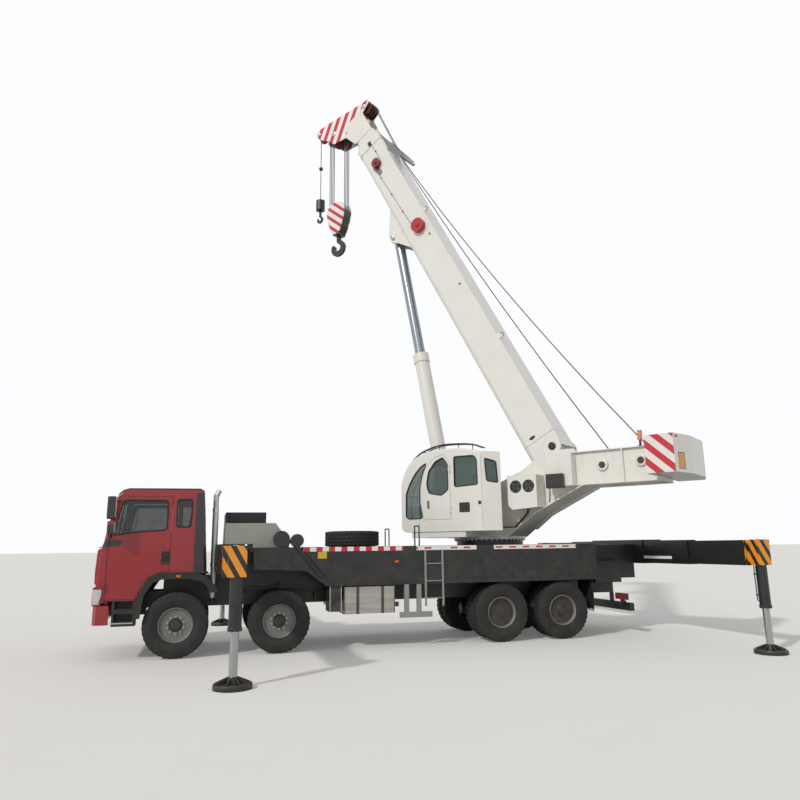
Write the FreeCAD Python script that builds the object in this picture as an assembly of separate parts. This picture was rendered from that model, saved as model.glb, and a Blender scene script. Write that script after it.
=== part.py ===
import FreeCAD, Part
import math
import os

# All sizes are in millimetres. The truck is drawn with x = 0 at its first axle, +X forwards,
# +Y to its left and z = 0 on the ground. The upper structure is drawn with its slewing axis
# at the origin, the boom with its foot pin at the origin, and both are then put in place.
V = FreeCAD.Vector

# Wheels and axles
holeCount = 10
holeRadius = 24.0
holeCircle = 178.0
wheelRadius = 560.0
beadRadius = 292.0
rimGap = 0.5
tyreFacets = 36
frontTyreWidth = 310.0
rearTyreWidth = 290.0
twinGap = 35.0
frontWheelY = 1022.0
twinOuterY = 1090.0
kingpinY = 860.0
kingpinRadius = 26.0
kingpinGap = 0.08
hubRadius = 120.0
spindleRadius = 40.0
bearingGap = 0.08
steeredAxles = [  # name, x
    ("1", 0.0),
    ("2", -1800.0),
]
drivenAxles = [  # name, x
    ("3", -6150.0),
    ("4", -7490.0),
]
rimWall = 29.0
discThickness = 14.0
drumRadius = 215.0

# Carrier frame and deck
railY = 415.0
railThickness = 70.0
railBottom = 820.0
railTop = 1100.0
railFront = 630.0
railNose = 1110.0
railNoseTop = 990.0
frameRear = -9150.0
boxTop = 1844.7
boxHalfWidth = 640.0
boxFront = -1320.0
deckTop = 1870.0
deckThickness = 25.0
deckFront = -1300.0
deckRear = -8300.0
deckHalfWidth = 1250.0
fasciaOutline = [  # x, z
    (-1300, 1870), (-1300, 1480), (-2250, 1440), (-2650, 1150), (-8300, 1150), (-8300, 1870),
]
fasciaThickness = 12.0
lockers = [  # front x, rear x, bottom z
    (-2760, -3560, 1190),
    (-3590, -4480, 1190),
    (-5020, -6380, 1240),
    (-6420, -8200, 1240),
]
reflectorStrips = [  # front x, rear x
    (-2200, -4130),
    (-4390, -5640),
    (-6010, -7840),
]
sideMarkers = [-2560.0, -3990.0, -6700.0]
airCleaners = [  # x, radius
    (-1800.0, 150.0),
    (-2090.0, 120.0),
]

# Outriggers: each side has an outer and an inner beam that slide along Y beside the
# other side's pair, and a jack with a foot at the inner beam's end
frontJackX = -900.0
rearJackX = -9830.0
jackY = 4060.0
beamStage = 1460.0
housingHalf = 1015.0
beamPitch = 232.0
outerBeamWidth = 206.0
outerBeamHeight = 470.0
beamWall = 12.0
slideGap = 7.0
coverWall = 30.0
beamBottom = 1450.0
endBoxWidth = 260.0
endBoxDepth = 230.0
endBoxHeight = 430.0
jackTubeRadius = 92.0
jackTubeBottom = 750.0
jackRodRadius = 60.0
jackStroke = 550.0
footRadius = 268.0
footHeight = 70.0

# Truck cab
cabEdgeRadius = 42.0
archOuter = [  # x, z
    (700, 700), (650, 1110), (490, 1395), (290, 1458), (-230, 1458), (-500, 1390), (-690, 1160), (-690, 1100),
]
archInner = [  # x, z
    (595, 700), (548, 1075), (415, 1290), (262, 1345), (-205, 1345), (-425, 1290), (-530, 1165), (-530, 1100),
]
archReach = 58.0
linerInnerY = 780.0
linerThickness = 8.0
mirrorGlass = [  # bottom z, top z, front x, rear x
    (2380, 2770, 1210, 1065),
    (2115, 2350, 1190, 1075),
]
mirrorInnerY = 1340.0
mirrorOuterY = 1500.0
cabHalfWidth = 1200.0
cabWall = 45.0
doorGap = 6.0
glassThickness = 6.0
glassGap = 0.4
hingeRadius = 12.0
hingeOffset = 13.0
cabHingeX = 1187.0
cabHinges = [1180.0, 1950.0]
hingeHeight = 90.0
cabOutline = [  # x, z
    (690, 1000), (1330, 1000), (1345, 1300), (1310, 1870), (1265, 1975), (1085, 2800), (1010, 2900),
    (900, 2935), (-320, 2940), (-390, 2895), (-480, 1440), (300, 1440), (560, 1270),
]
doorOutline = [  # x, z
    (705, 1020), (1190, 1020), (1190, 2080), (1045, 2790), (150, 2790), (150, 1460), (310, 1460), (572, 1288),
]
doorWindow = [  # x, z
    (1120, 2110), (985, 2720), (230, 2720), (230, 2200), (700, 2170),
]
quarterWindow = [  # x, z
    (70, 2250), (70, 2740), (-190, 2740), (-170, 2250),
]
windscreenHalfWidth = 1040.0
windscreenBottom = 2010.0
windscreenTop = 2760.0
rearWindowHalfWidth = 480.0

# Upper structure
slewX = -6450.0
slewAngle = -52.0
slewRingRadius = 720.0
slewRingHeight = 115.0
plateInner = 372.0
plateThickness = 50.0
towerOutline = [  # along, z
    (-700, 2030), (1300, 2030), (1300, 2560), (800, 2620), (-1100, 3400), (-1600, 3750), (-2230, 3750),
    (-2300, 3650), (-3880, 3650), (-3880, 3020), (-2400, 3020), (-1300, 2490),
]
counterweightPlan = [  # along, half width
    (-3880.3, 500), (-3820, 500), (-3820, 1050), (-4330, 1050), (-4480, 456),
]
counterweightBottom = 3080.0
counterweightTop = 3770.0
winches = [  # along, z
    (-2810, 3370),
    (-3560, 3400),
]
drumRadiusWinch = 190.0
hubFlangeRadius = 115.0
flangeDepth = 60.0
tailFlange = 18.0
coolerOutline = [  # along, z
    (-912, 3260), (-1560, 3250), (-1560, 2600), (-1000, 2560), (-912, 2660),
]
coolerOuter = 800.0
fans = [-1100.0, -1385.0]
fanZ = 3025.0
fanRadius = 130.0
cornerBoxOuter = 640.0
roofRail = [  # along, z
    (1180, 3720), (930, 3880), (480, 3985), (0, 3975), (-340, 3930), (-560, 3850),
]
flangeRadius = 255.0
beaconAlong = -3575.0
beaconTop = 3970.0

# Operator's cab
railAcross = 1180.0
operatorEdgeRadius = 38.0
operatorCabInner = 440.0
operatorCabOuter = 1320.0
operatorCabWall = 40.0
operatorCabOutline = [  # along, z
    (1290, 2150), (1375, 2180), (1430, 2270), (1475, 2560), (1490, 2830), (1480, 2990), (1450, 3140), (1405, 3300),
    (1340, 3450), (1255, 3580), (1150, 3680), (1020, 3760), (860, 3820), (700, 3860), (540, 3880),
    (-60, 3880), (-600, 3760), (-900, 3740), (-900, 2150),
]
operatorCabPlan = [  # along, across
    (1500, 440), (1500, 1210), (1420, 1320), (-600, 1320), (-905, 1060), (-560, 440),
]
operatorDoor = [  # along, z
    (150, 2400), (150, 3560), (290, 3770), (560, 3700), (800, 3460), (900, 3100), (905, 2750), (830, 2400),
]
operatorDoorWindow = [  # along, z
    (205, 3010), (205, 3540), (320, 3700), (520, 3620), (690, 3420), (745, 3150), (690, 2960), (380, 2900),
]
operatorSideWindow = [  # along, z
    (45, 3060), (45, 3690), (-430, 3680), (-500, 3600), (-510, 3080),
]
operatorFrontWindow = [  # along, z
    (862, 2440), (893, 2590), (930, 2760), (924, 3105), (855, 3370), (790, 3500), (740, 3610), (887, 3547),
    (1060, 3380), (1200, 3170), (1290, 2970), (1300, 2480), (1216, 2430),
]
operatorRearWindow = [  # along the cab's slanted rear corner, z
    (79, 3608), (311, 3538), (336, 3108), (107, 3148),
]

hoseSeat = 7.6
operatorHingeX = 153.0
operatorHinges = [2550.0, 3400.0]

# Boom, drawn along +X with its foot pin at the origin and z across it
boomPivotAlong = -1780.0
boomPivotZ = 3840.0
boomElevation = 62.2
boomTop = 180.0
boomDepth = 800.0
boomWidth = 680.0
boomWall = 10.0
boomStep = 24.0
boomStart = -60.0
boomEnd = 10250.0
sectionStart = 320.0
sectionStagger = 110.0
reels = [  # before the tube's end, off, radius, reach
    (3490, -115, 180, 130),
    (885, -255, 130, 110),
]
rollerArm = [  # before the tube's end, off
    (20, 150), (20, 215), (1190, 470), (1290, 440), (1250, 370), (650, 185), (650, 150),
]
footPinRadius = 70.0
footPinGap = 0.08
liftPinAlong = 7160.0
liftPinOff = -915.0
liftFootAlong = 920.0
liftFootZ = 2200.0
barrelRadius = 180.0
barrelLength = 4390.0
liftRodLength = 4385.0
liftEyeRadius = 105.0
liftFootRadius = 130.0
liftFootWidth = 204.0
liftRodRadius = 128.0
liftPinRadius = 55.0
headLength = 910.0
headSheaveAlong = boomEnd + 4 * sectionStagger + headLength
headSheaveOff = -980.0
headSheaveRadius = 280.0
noseReach = 460.0
noseDrop = 420.0
noseSheaveAlong = headSheaveAlong + noseReach
noseSheaveOff = headSheaveOff - noseDrop
noseSheaveRadius = 150.0
headTop = [  # along, off from the main sheave
    (-300, 1070), (-180, 1380), (-70, 1380), (20, 1100),
]
headNose = [  # along, off from the nose sheave
    (0, 440), (120, 100), (110, -50), (20, -100), (-160, -60),
]
headUnder = [  # along, off from the main sheave
    (-40, -260), (-300, -150), (-500, 280),
]
headPlateY = 255.0
headPlateThickness = 14.0
ropeRadius = 11.0
seatGap = 0.3
hookDrop = 2480.0
cheekOutline = [  # along, z from the block's axle
    (-330, 0), (-322, 130), (-265, 250), (-160, 325), (0, 350), (160, 325), (265, 250), (322, 130), (330, 0),
    (290, -180), (215, -400), (150, -560), (60, -610), (-60, -610), (-150, -560), (-215, -400), (-290, -180),
]
hookOutline = [  # along, z from the ring's middle
    (-45, 330), (45, 330), (55, 190), (20, 120), (-60, 60), (-92, 0), (-85, -60), (-40, -100), (30, -112), (90, -85),
    (120, -30), (118, 40), (180, 95), (235, 60), (255, -20), (235, -120), (170, -215), (70, -265), (-40, -262), (-145, -215),
    (-215, -125), (-235, -10), (-200, 100), (-120, 180), (-60, 230),
]
auxHookDrop = 2150.0


def box(x0, x1, y0, y1, z0, z1):
    return Part.makeBox(x1 - x0, y1 - y0, z1 - z0, V(x0, y0, z0))


def wire(points):
    return Part.makePolygon(points + [points[0]])


def prismY(outline, y0, y1):
    face = Part.Face(wire([V(x, y0, z) for x, z in outline]))
    return face.extrude(V(0, y1 - y0, 0))


def prismZ(outline, z0, z1):
    face = Part.Face(wire([V(x, y, z0) for x, y in outline]))
    return face.extrude(V(0, 0, z1 - z0))


def prismX(outline, x0, x1):
    face = Part.Face(wire([V(x0, y, z) for y, z in outline]))
    return face.extrude(V(x1 - x0, 0, 0))


def shrunk(outline, distance):
    # Each side of a closed outline moves inwards by the same distance
    area = sum(a[0] * b[1] - b[0] * a[1] for a, b in zip(outline, outline[1:] + outline[:1]))
    turn = 1.0 if area > 0 else -1.0
    sides = []
    for a, b in zip(outline, outline[1:] + outline[:1]):
        length = math.hypot(b[0] - a[0], b[1] - a[1])
        nx = -(b[1] - a[1]) / length * turn
        nz = (b[0] - a[0]) / length * turn
        sides.append((nx, nz, nx * a[0] + nz * a[1] + distance))
    result = []
    for p, q in zip(sides[-1:] + sides[:-1], sides):
        det = p[0] * q[1] - q[0] * p[1]
        result.append(((p[2] * q[1] - q[2] * p[1]) / det, (p[0] * q[2] - q[0] * p[2]) / det))
    return result


def rod(start, end, radius):
    a = V(*start)
    b = V(*end)
    return Part.makeCylinder(radius, (b - a).Length, a, b - a)


def pipe(start, end, radius, bore):
    return rod(start, end, radius).cut(rod(start, end, bore))


def fuse(*shapes):
    first = shapes[0]
    return first.multiFuse(list(shapes[1:])).removeSplitter()


def mirrored(shape):
    return shape.mirror(V(0, 0, 0), V(0, 1, 0))


def moved(shape, x, y, z):
    result = shape.copy()
    result.translate(V(x, y, z))
    return result


def facetedRing(profile, count):
    # A ring about the Y axis whose flats touch each radius of the profile, one of them lowest
    points = []
    for radius, y in profile:
        reach = radius / math.cos(math.pi / count)
        row = []
        for k in range(count):
            angle = 2 * math.pi * (k + 0.5) / count
            row.append(V(reach * math.sin(angle), y, -reach * math.cos(angle)))
        points.append(row)
    faces = []
    for a, b in zip(points, points[1:] + points[:1]):
        for k in range(count):
            n = (k + 1) % count
            faces.append(Part.Face(wire([a[k], b[k], b[n], a[n]])))
    solid = Part.Solid(Part.Shell(faces))
    if solid.Volume < 0:
        solid.reverse()
    return solid


def tyre(width):
    half = width / 2
    side = [(beadRadius, 0.72 * half), (0.5 * (beadRadius + wheelRadius), half), (wheelRadius, 0.8 * half)]
    profile = [(r, -y) for r, y in side] + [(r, y) for r, y in reversed(side)]
    return facetedRing(profile, tyreFacets)


def frontRim(width):
    # The disc stands near the outer face, with the hub's cap through it
    half = 0.72 * width / 2
    outer = beadRadius - rimGap
    barrel = pipe((0, -half, 0), (0, half, 0), outer, outer - rimWall)
    discY = half - 55
    disc = rod((0, discY - discThickness, 0), (0, discY, 0), outer - rimWall + 2)
    hub = rod((0, -67, 0), (0, half + 25, 0), hubRadius)
    drum = rod((0, -67, 0), (0, 38, 0), drumRadius)
    bore = rod((0, -68, 0), (0, 88, 0), spindleRadius + bearingGap)
    solid = fuse(barrel, disc, hub, drum).cut(bore)
    return solid.cut(ventHoles(39, discY + 5))


def ventHoles(low, high):
    holes = []
    for k in range(holeCount):
        angle = 2 * math.pi * k / holeCount
        x, z = holeCircle * math.cos(angle), holeCircle * math.sin(angle)
        holes.append(rod((x, low, z), (x, high, z), holeRadius))
    return Part.makeCompound(holes)


def twinRim(width, outerY, innerY):
    half = 0.72 * width / 2
    outer = beadRadius - rimGap
    middle = (outerY + innerY) / 2
    barrels = pipe((0, innerY - half, 0), (0, outerY + half, 0), outer, outer - rimWall)
    groove = pipe((0, innerY + half + 1, 0), (0, outerY - half - 1, 0), outer + 1, outer - rimWall / 2)
    disc = rod((0, middle - discThickness, 0), (0, middle + discThickness, 0), outer - rimWall + 2)
    hub = rod((0, innerY - half - 40, 0), (0, outerY + 60, 0), hubRadius + 15)
    drum = rod((0, innerY - half - 40, 0), (0, middle - 60, 0), drumRadius)
    bore = rod((0, innerY - half - 41, 0), (0, outerY - 20, 0), spindleRadius + bearingGap)
    solid = fuse(barrels.cut(groove), disc, hub, drum).cut(bore)
    return solid.cut(ventHoles(middle - 55, middle + discThickness + 5))


def wheels():
    nodes = {}
    for name, x in steeredAxles:
        left = Part.makeCompound([tyre(frontTyreWidth), frontRim(frontTyreWidth)])
        left = moved(left, x, frontWheelY, wheelRadius)
        nodes["wheel_%s_left" % name] = left
        nodes["wheel_%s_right" % name] = mirrored(left)
    innerY = twinOuterY - rearTyreWidth - twinGap
    for name, x in drivenAxles:
        tyres = [moved(tyre(rearTyreWidth), 0, y, 0) for y in (innerY, twinOuterY)]
        left = Part.makeCompound(tyres + [twinRim(rearTyreWidth, twinOuterY, innerY)])
        left = moved(left, x, 0, wheelRadius)
        nodes["twin_wheel_%s_left" % name] = left
        nodes["twin_wheel_%s_right" % name] = mirrored(left)
    return nodes


def knuckles():
    nodes = {}
    z = wheelRadius
    for name, x in steeredAxles:
        plate = rod((x, kingpinY + 65, z), (x, kingpinY + 85, z), drumRadius - 30)
        upper = box(x - 60, x + 60, kingpinY - 45, kingpinY + 70, z + 72, z + 130)
        lower = box(x - 60, x + 60, kingpinY - 45, kingpinY + 70, z - 130, z - 72)
        pin = rod((x, kingpinY, z - 120), (x, kingpinY, z + 120), kingpinRadius)
        spindle = rod((x, kingpinY + 80, z), (x, frontWheelY + 60, z), spindleRadius)
        left = fuse(plate, upper, lower, pin, spindle)
        nodes["knuckle_%s_left" % name] = left
        nodes["knuckle_%s_right" % name] = mirrored(left)
    return nodes


def axles():
    solids = []
    z = wheelRadius
    for name, x in steeredAxles:
        eye = rod((x, kingpinY, z - 65), (x, kingpinY, z + 65), 55)
        arm = box(x - 45, x + 45, kingpinY - 130, kingpinY - 20, z - 50, z + 40)
        drop = prismX([(kingpinY - 110, z - 50), (kingpinY - 110, z + 40), (560, z - 40), (560, z - 130)], x - 45, x + 45)
        side = fuse(eye, arm, drop)
        hole = rod((x, kingpinY, z - 70), (x, kingpinY, z + 70), kingpinRadius + kingpinGap)
        side = side.cut(hole)
        beam = box(x - 45, x + 45, -570, 570, z - 130, z - 40)
        pads = [box(x - 60, x + 60, s * railY - 45, s * railY + 45, z - 42, railBottom) for s in (-1, 1)]
        solids.append(fuse(beam, side, mirrored(side), *pads))
    innerEnd = twinOuterY - rearTyreWidth - twinGap - 0.72 * rearTyreWidth / 2 - 40
    for name, x in drivenAxles:
        tube = rod((x, -innerEnd + 60, z), (x, innerEnd - 60, z), 85)
        casing = rod((x, -160, z), (x, 160, z), 235)
        nose = rod((x, 0, z), (x + 430, 0, z), 110)
        spindle = rod((x, -twinOuterY + 50, z), (x, twinOuterY - 50, z), spindleRadius)
        flanges = [rod((x, s * (innerEnd - 65), z), (x, s * (innerEnd - 8), z), drumRadius - 30) for s in (-1, 1)]
        seats = [box(x - 70, x + 70, s * railY - 45, s * railY + 45, z + 60, railBottom) for s in (-1, 1)]
        solids.append(fuse(tube, casing, nose, spindle, *(flanges + seats)))
    return {"axles": Part.makeCompound(solids)}


def housingLimits(jackX):
    # The two pairs of beams lie side by side about the jack's line
    half = beamPitch / 2 + outerBeamWidth / 2 + slideGap + beamWall
    return jackX - half, jackX + half


def frame():
    rails = [box(frameRear, railFront, s * railY - railThickness / 2, s * railY + railThickness / 2, railBottom, railTop)
             for s in (-1, 1)]
    rails += [box(railFront - 30, railNose, s * railY - railThickness / 2, s * railY + railThickness / 2, railBottom,
                  railNoseTop) for s in (-1, 1)]
    rails += [box(900, 1000, s * railY - 50, s * railY + 50, 900, 999.7) for s in (-1, 1)]
    rails += [box(-460, -390, s * railY - 35, s * railY + 35, railTop - 50, 1439.7) for s in (-1, 1)]
    cross = [box(x - 40, x + 40, -railY, railY, railBottom + 40, railNoseTop - 20)
             for x in (1060, -2400, -3600, -4800, -5500, -6820, -8300, -9110)]
    beam = box(frameRear, boxFront, -boxHalfWidth, boxHalfWidth, railTop, boxTop)
    hollow = box(frameRear + 20, boxFront - 20, -boxHalfWidth + 20, boxHalfWidth - 20, railTop + 20, boxTop - 20)
    girder = beam.cut(hollow)
    ring = rod((slewX, 0, boxTop - 20.0), (slewX, 0, deckTop + slewRingHeight), slewRingRadius)
    ring = ring.cut(rod((slewX, 0, boxTop - 30), (slewX, 0, deckTop + slewRingHeight + 5), slewRingRadius - 120))
    parts = rails + cross + [girder, ring]
    tunnels = []
    for jackX in (frontJackX, rearJackX):
        low, high = housingLimits(jackX)
        top = beamBottom + outerBeamHeight + slideGap + beamWall
        bottom = beamBottom - seatGap - beamWall
        parts.append(box(low, high, -housingHalf, housingHalf, bottom, top))
        for side in (-1, 1):
            centre = jackX + side * beamPitch / 2
            half = outerBeamWidth / 2 + slideGap
            tunnels.append(box(centre - half, centre + half, -housingHalf - 5, housingHalf + 5,
                               beamBottom - seatGap, beamBottom + outerBeamHeight + slideGap))
    low, high = housingLimits(frontJackX)
    for s in (-1, 1):
        parts.append(box(low, high, *sorted((s * 385, s * 465)), railTop - 20, beamBottom - 5))
    parts.append(box(boxFront - 10, low + 5, -boxHalfWidth, boxHalfWidth, railTop, boxTop - 60))
    low, high = housingLimits(rearJackX)
    parts.append(box(high - 5, frameRear + 10, -boxHalfWidth, boxHalfWidth, 1130, boxTop))
    parts.append(box(-9150, -8520, -boxHalfWidth - 160, boxHalfWidth + 160, 1050, 1500))
    for s in (-1, 1):
        tanks = [rod((-560, s * 460, z), (-560, s * 770, z), 75) for z in (1120, 1290)]
        parts += [fuse(t, box(-600, -520, *sorted((s * 445, s * 470)), 1040, 1370)) for t in tanks]
    solid = fuse(*parts)
    for tunnel in tunnels:
        solid = solid.cut(tunnel)
    return {"carrier_frame": solid}


def deck():
    plate = box(deckRear, deckFront, -deckHalfWidth, deckHalfWidth, deckTop - deckThickness, deckTop)
    sides = []
    for s in (-1, 1):
        inner = s * (deckHalfWidth - fasciaThickness)
        sides.append(prismY(fasciaOutline, *sorted((inner, s * deckHalfWidth))))
        for front, rear, bottom in lockers:
            sides.append(box(rear, front, *sorted((inner, s * (deckHalfWidth + 5))), bottom, deckTop - 110))
    ribs = [box(x - 6, x + 6, -deckHalfWidth + 5, -boxHalfWidth - 0.3, deckTop - 260, deckTop - 20)
            for x in range(-8200, -1300, 985)]
    ribs += [mirrored(r) for r in ribs]
    ring = rod((slewX, 0, 1500), (slewX, 0, 2000), slewRingRadius + 0.5)
    fittings = []
    for s in (-1, 1):
        y0, y1 = sorted((s * (deckHalfWidth + seatGap), s * (deckHalfWidth + 4)))
        fittings += [box(rear, front, y0, y1, deckTop - 85, deckTop - 5) for front, rear in reflectorStrips]
        y0, y1 = sorted((s * (deckHalfWidth + 5 + seatGap), s * (deckHalfWidth + 24)))
        fittings += [box(x - 38, x + 38, y0, y1, 1560, 1600) for x in sideMarkers[1:]]
        y0, y1 = sorted((s * (deckHalfWidth + seatGap), s * (deckHalfWidth + 3)))
        fittings.append(box(-2640, -2470, y0, y1, 1655, 1780))
        for shift in (0, 110):
            low = V(-2520 - shift, s * (deckHalfWidth + 24), 1330)
            high = V(-2060 - shift, s * (deckHalfWidth + 24), deckTop)
            clamp = (low + high) * 0.5
            fittings.append(fuse(rod(tuple(low), tuple(high), 18),
                                 box(clamp.x - 25, clamp.x + 25, *sorted((s * (deckHalfWidth + seatGap), clamp.y)),
                                     clamp.z - 20, clamp.z + 20)))
        y = s * 1180
        posts = [rod((x, y, deckTop + seatGap), (x, y, deckTop + 380), 14) for x in (-4380, -4470)]
        bend = rod((-4425 - 45, y, deckTop + 380), (-4425 + 45, y, deckTop + 380), 14)
        fittings.append(fuse(*(posts + [bend])))
        for x, radius in airCleaners:
            z = deckTop + radius + seatGap
            fittings.append(fuse(rod((x, s * 1020, z), (x, s * 1220, z), radius),
                                 rod((x, s * 1000.3, z), (x, s * 1030, z), radius * 0.6),
                                 box(x - 60, x + 60, *sorted((s * 1060, s * 1180)), deckTop + seatGap, z)))
    return {"deck": fuse(plate, *(sides + ribs)).cut(ring), "deck_fittings": Part.makeCompound(fittings)}


def outriggers():
    nodes = {}
    innerWidth = outerBeamWidth - 2 * (beamWall + slideGap)
    innerBottom = beamBottom + beamWall + seatGap
    innerTop = beamBottom + outerBeamHeight - beamWall - slideGap
    for place, jackX in (("front", frontJackX), ("rear", rearJackX)):
        for side, word in ((1, "left"), (-1, "right")):
            centre = jackX + side * beamPitch / 2
            half = outerBeamWidth / 2
            outerEnd = housingHalf + beamStage - 20
            outer = box(centre - half, centre + half, outerEnd - 2 * housingHalf + 30, outerEnd,
                        beamBottom, beamBottom + outerBeamHeight)
            hole = box(centre - half + beamWall, centre + half - beamWall, 0, outerEnd + 5,
                       beamBottom + beamWall, beamBottom + outerBeamHeight - beamWall)
            outer = outer.cut(hole)
            innerEnd = jackY - endBoxDepth / 2 + 5
            inner = box(centre - innerWidth / 2, centre + innerWidth / 2, innerEnd - 2 * housingHalf + 60, innerEnd,
                        innerBottom, innerTop)
            endBox = box(jackX - endBoxWidth / 2, jackX + endBoxWidth / 2, jackY - endBoxDepth / 2,
                         jackY + endBoxDepth / 2, beamBottom + 20, beamBottom + 20 + endBoxHeight)
            tube = rod((jackX, jackY, jackTubeBottom), (jackX, jackY, beamBottom + 30), jackTubeRadius)
            inner = fuse(inner, endBox, tube)
            bore = rod((jackX, jackY, jackTubeBottom - 5), (jackX, jackY, beamBottom + endBoxHeight - 30),
                       jackRodRadius + bearingGap)
            inner = inner.cut(bore)
            shaft = rod((jackX, jackY, footHeight - 5), (jackX, jackY, jackTubeBottom + 100), jackRodRadius)
            dish = Part.makeCone(footRadius, jackRodRadius + 40, footHeight, V(jackX, jackY, 0), V(0, 0, 1))
            shapes = [outer, inner, fuse(shaft, dish)]
            if side < 0:
                shapes = [s.mirror(V(0, 0, 0), V(0, 1, 0)) for s in shapes]
            for kind, shape in zip(("outer_beam", "inner_beam", "foot"), shapes):
                nodes["outrigger_%s_%s_%s" % (place, word, kind)] = shape
    return nodes


def sideEdges(solid, half, wanted):
    # Edges that lie in either side face and whose middle is wanted
    found = []
    for edge in solid.Edges:
        a, b = edge.Vertexes[0].Point, edge.Vertexes[-1].Point
        middle = (a + b) * 0.5
        if abs(abs(a.y) - half) < 0.01 and abs(a.y - b.y) < 0.01 and wanted(middle):
            found.append(edge)
    return found


def hingeParts(x, y, spans, reach, thickness=7.0):
    # Barrels about an upright axis just outside a side at y; each has a leaf along the side
    parts = []
    for low, high in spans:
        barrel = rod((x, y + hingeOffset, low), (x, y + hingeOffset, high), hingeRadius)
        leaf = box(min(x, x + reach), max(x, x + reach), y - 5, y + thickness, low, high)
        parts += [barrel, leaf]
    return parts


def cabPieces():
    outer = prismY(cabOutline, -cabHalfWidth, cabHalfWidth)
    outer = outer.makeFillet(cabEdgeRadius, sideEdges(outer, cabHalfWidth, lambda m: m.z > 1900 or m.x > 1325))
    inner = prismY(shrunk(cabOutline, cabWall), -cabHalfWidth + cabWall, cabHalfWidth - cabWall)
    shell = outer.cut(inner)
    corners = [prismY([(1325, 1280), (1362, 1290), (1366, 1500), (1348, 1840), (1330, 1880), (1290, 1880)],
                      *sorted((s * 885, s * 1170))) for s in (-1, 1)]
    shell = fuse(shell, *corners).cut(inner)
    sideLow = cabHalfWidth - cabWall - 5
    sideHigh = cabHalfWidth + 5
    shell = shell.cut(prismY(doorOutline, sideLow, sideHigh))
    shell = shell.cut(prismY(doorOutline, -sideHigh, -sideLow))
    shell = shell.cut(prismY(quarterWindow, -sideHigh, sideHigh))
    screen = box(1000, 1500, -windscreenHalfWidth, windscreenHalfWidth, windscreenBottom, windscreenTop)
    shell = shell.cut(screen)
    backHole = box(-520, -330, -rearWindowHalfWidth, rearWindowHalfWidth, 2250, 2700)
    shell = shell.cut(backHole)
    middle = cabHalfWidth - cabWall / 2
    panes = []
    for s in (-1, 1):
        panes.append(prismY(shrunk(quarterWindow, glassGap), s * middle - glassThickness / 2, s * middle + glassThickness / 2))
    front = prismY(shrunk(cabOutline, cabWall / 2), -windscreenHalfWidth + glassGap, windscreenHalfWidth - glassGap)
    back = prismY(shrunk(cabOutline, cabWall / 2 + glassThickness), -2000, 2000)
    panes.append(front.cut(back).common(box(1000, 1500, -2000, 2000, windscreenBottom + glassGap, windscreenTop - glassGap)))
    rear = prismY(shrunk(cabOutline, cabWall / 2), -rearWindowHalfWidth + glassGap, rearWindowHalfWidth - glassGap)
    panes.append(rear.cut(back).common(box(-520, -330, -2000, 2000, 2250 + glassGap, 2700 - glassGap)))
    door = prismY(shrunk(doorOutline, doorGap), cabHalfWidth - cabWall, cabHalfWidth)
    door = door.cut(prismY(doorWindow, sideLow, sideHigh))
    pane = prismY(shrunk(doorWindow, glassGap), middle - glassThickness / 2, middle + glassThickness / 2)
    leaves = []
    fixed = []
    for z in cabHinges:
        leaves += hingeParts(cabHingeX, cabHalfWidth, [(z, z + hingeHeight)], -45)
        fixed += hingeParts(cabHingeX, cabHalfWidth,
                            [(z - 40, z - seatGap), (z + hingeHeight + seatGap, z + hingeHeight + 40)], 35)
    recess = box(165, 285, cabHalfWidth - 16, cabHalfWidth + 5, 1650, 1800)
    grip = box(170, 240, cabHalfWidth - 20, cabHalfWidth + 4, 1742, 1772)
    door = fuse(door.cut(recess), grip)
    holders = []
    for low, high, front, rear in mirrorGlass:
        case = box(rear, front, mirrorInnerY, mirrorOuterY, low, high)
        holders.append(case.makeFillet(28, case.Edges))
    top = mirrorGlass[0][1] - 60
    bottom = mirrorGlass[1][0] + 60
    holders.append(rod((1020, cabHalfWidth - 10, top - 10), (1130, mirrorInnerY + 60, top), 16))
    holders.append(rod((1150, cabHalfWidth - 10, bottom - 110), (1130, mirrorInnerY + 60, bottom), 16))
    holders.append(rod((1130, mirrorInnerY + 60, bottom), (1130, mirrorInnerY + 60, top), 16))
    left = Part.makeCompound([fuse(door, *(leaves + holders)), pane])
    shell = fuse(shell, *(fixed + [mirrored(f) for f in fixed]))
    return {
        "cab_shell": shell,
        "cab_glass": Part.makeCompound(panes),
        "cab_door_left": left,
        "cab_door_right": mirrored(left),
    }


def cabInterior():
    floor = 1440 + cabWall
    solids = []
    for s in (-1, 1):
        y = s * 600
        base = box(-150, 300, y - 200, y + 200, floor, floor + 180)
        cushion = box(-180, 340, y - 250, y + 250, floor + 180, floor + 330)
        back = prismY([(-180, floor + 320), (-60, floor + 320), (-170, floor + 1000), (-280, floor + 1000)], y - 240, y + 240)
        solids.append(fuse(base, cushion, back))
    dash = prismY([(1040, 1480), (1240, 1480), (1240, 1900), (1150, 1930), (960, 1870), (900, 1700)], -1120, 1120)
    foot = box(1080, 1240, -1120, 1120, 1000 + cabWall, 1500)
    column = rod((960, 600, 1700), (760, 600, 1980), 30)
    steer = Part.makeTorus(215, 16, V(745, 600, 2000), V(-0.54, 0, 0.84))
    hub = rod((775, 600, 1955), (745, 600, 2003), 60)
    spokes = [rod((745, 600 - 205, 2000), (745, 600 + 205, 2000), 14)]
    solids.append(fuse(dash, foot, column, steer, hub, *spokes))
    return {"cab_interior": Part.makeCompound(solids)}


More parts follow.
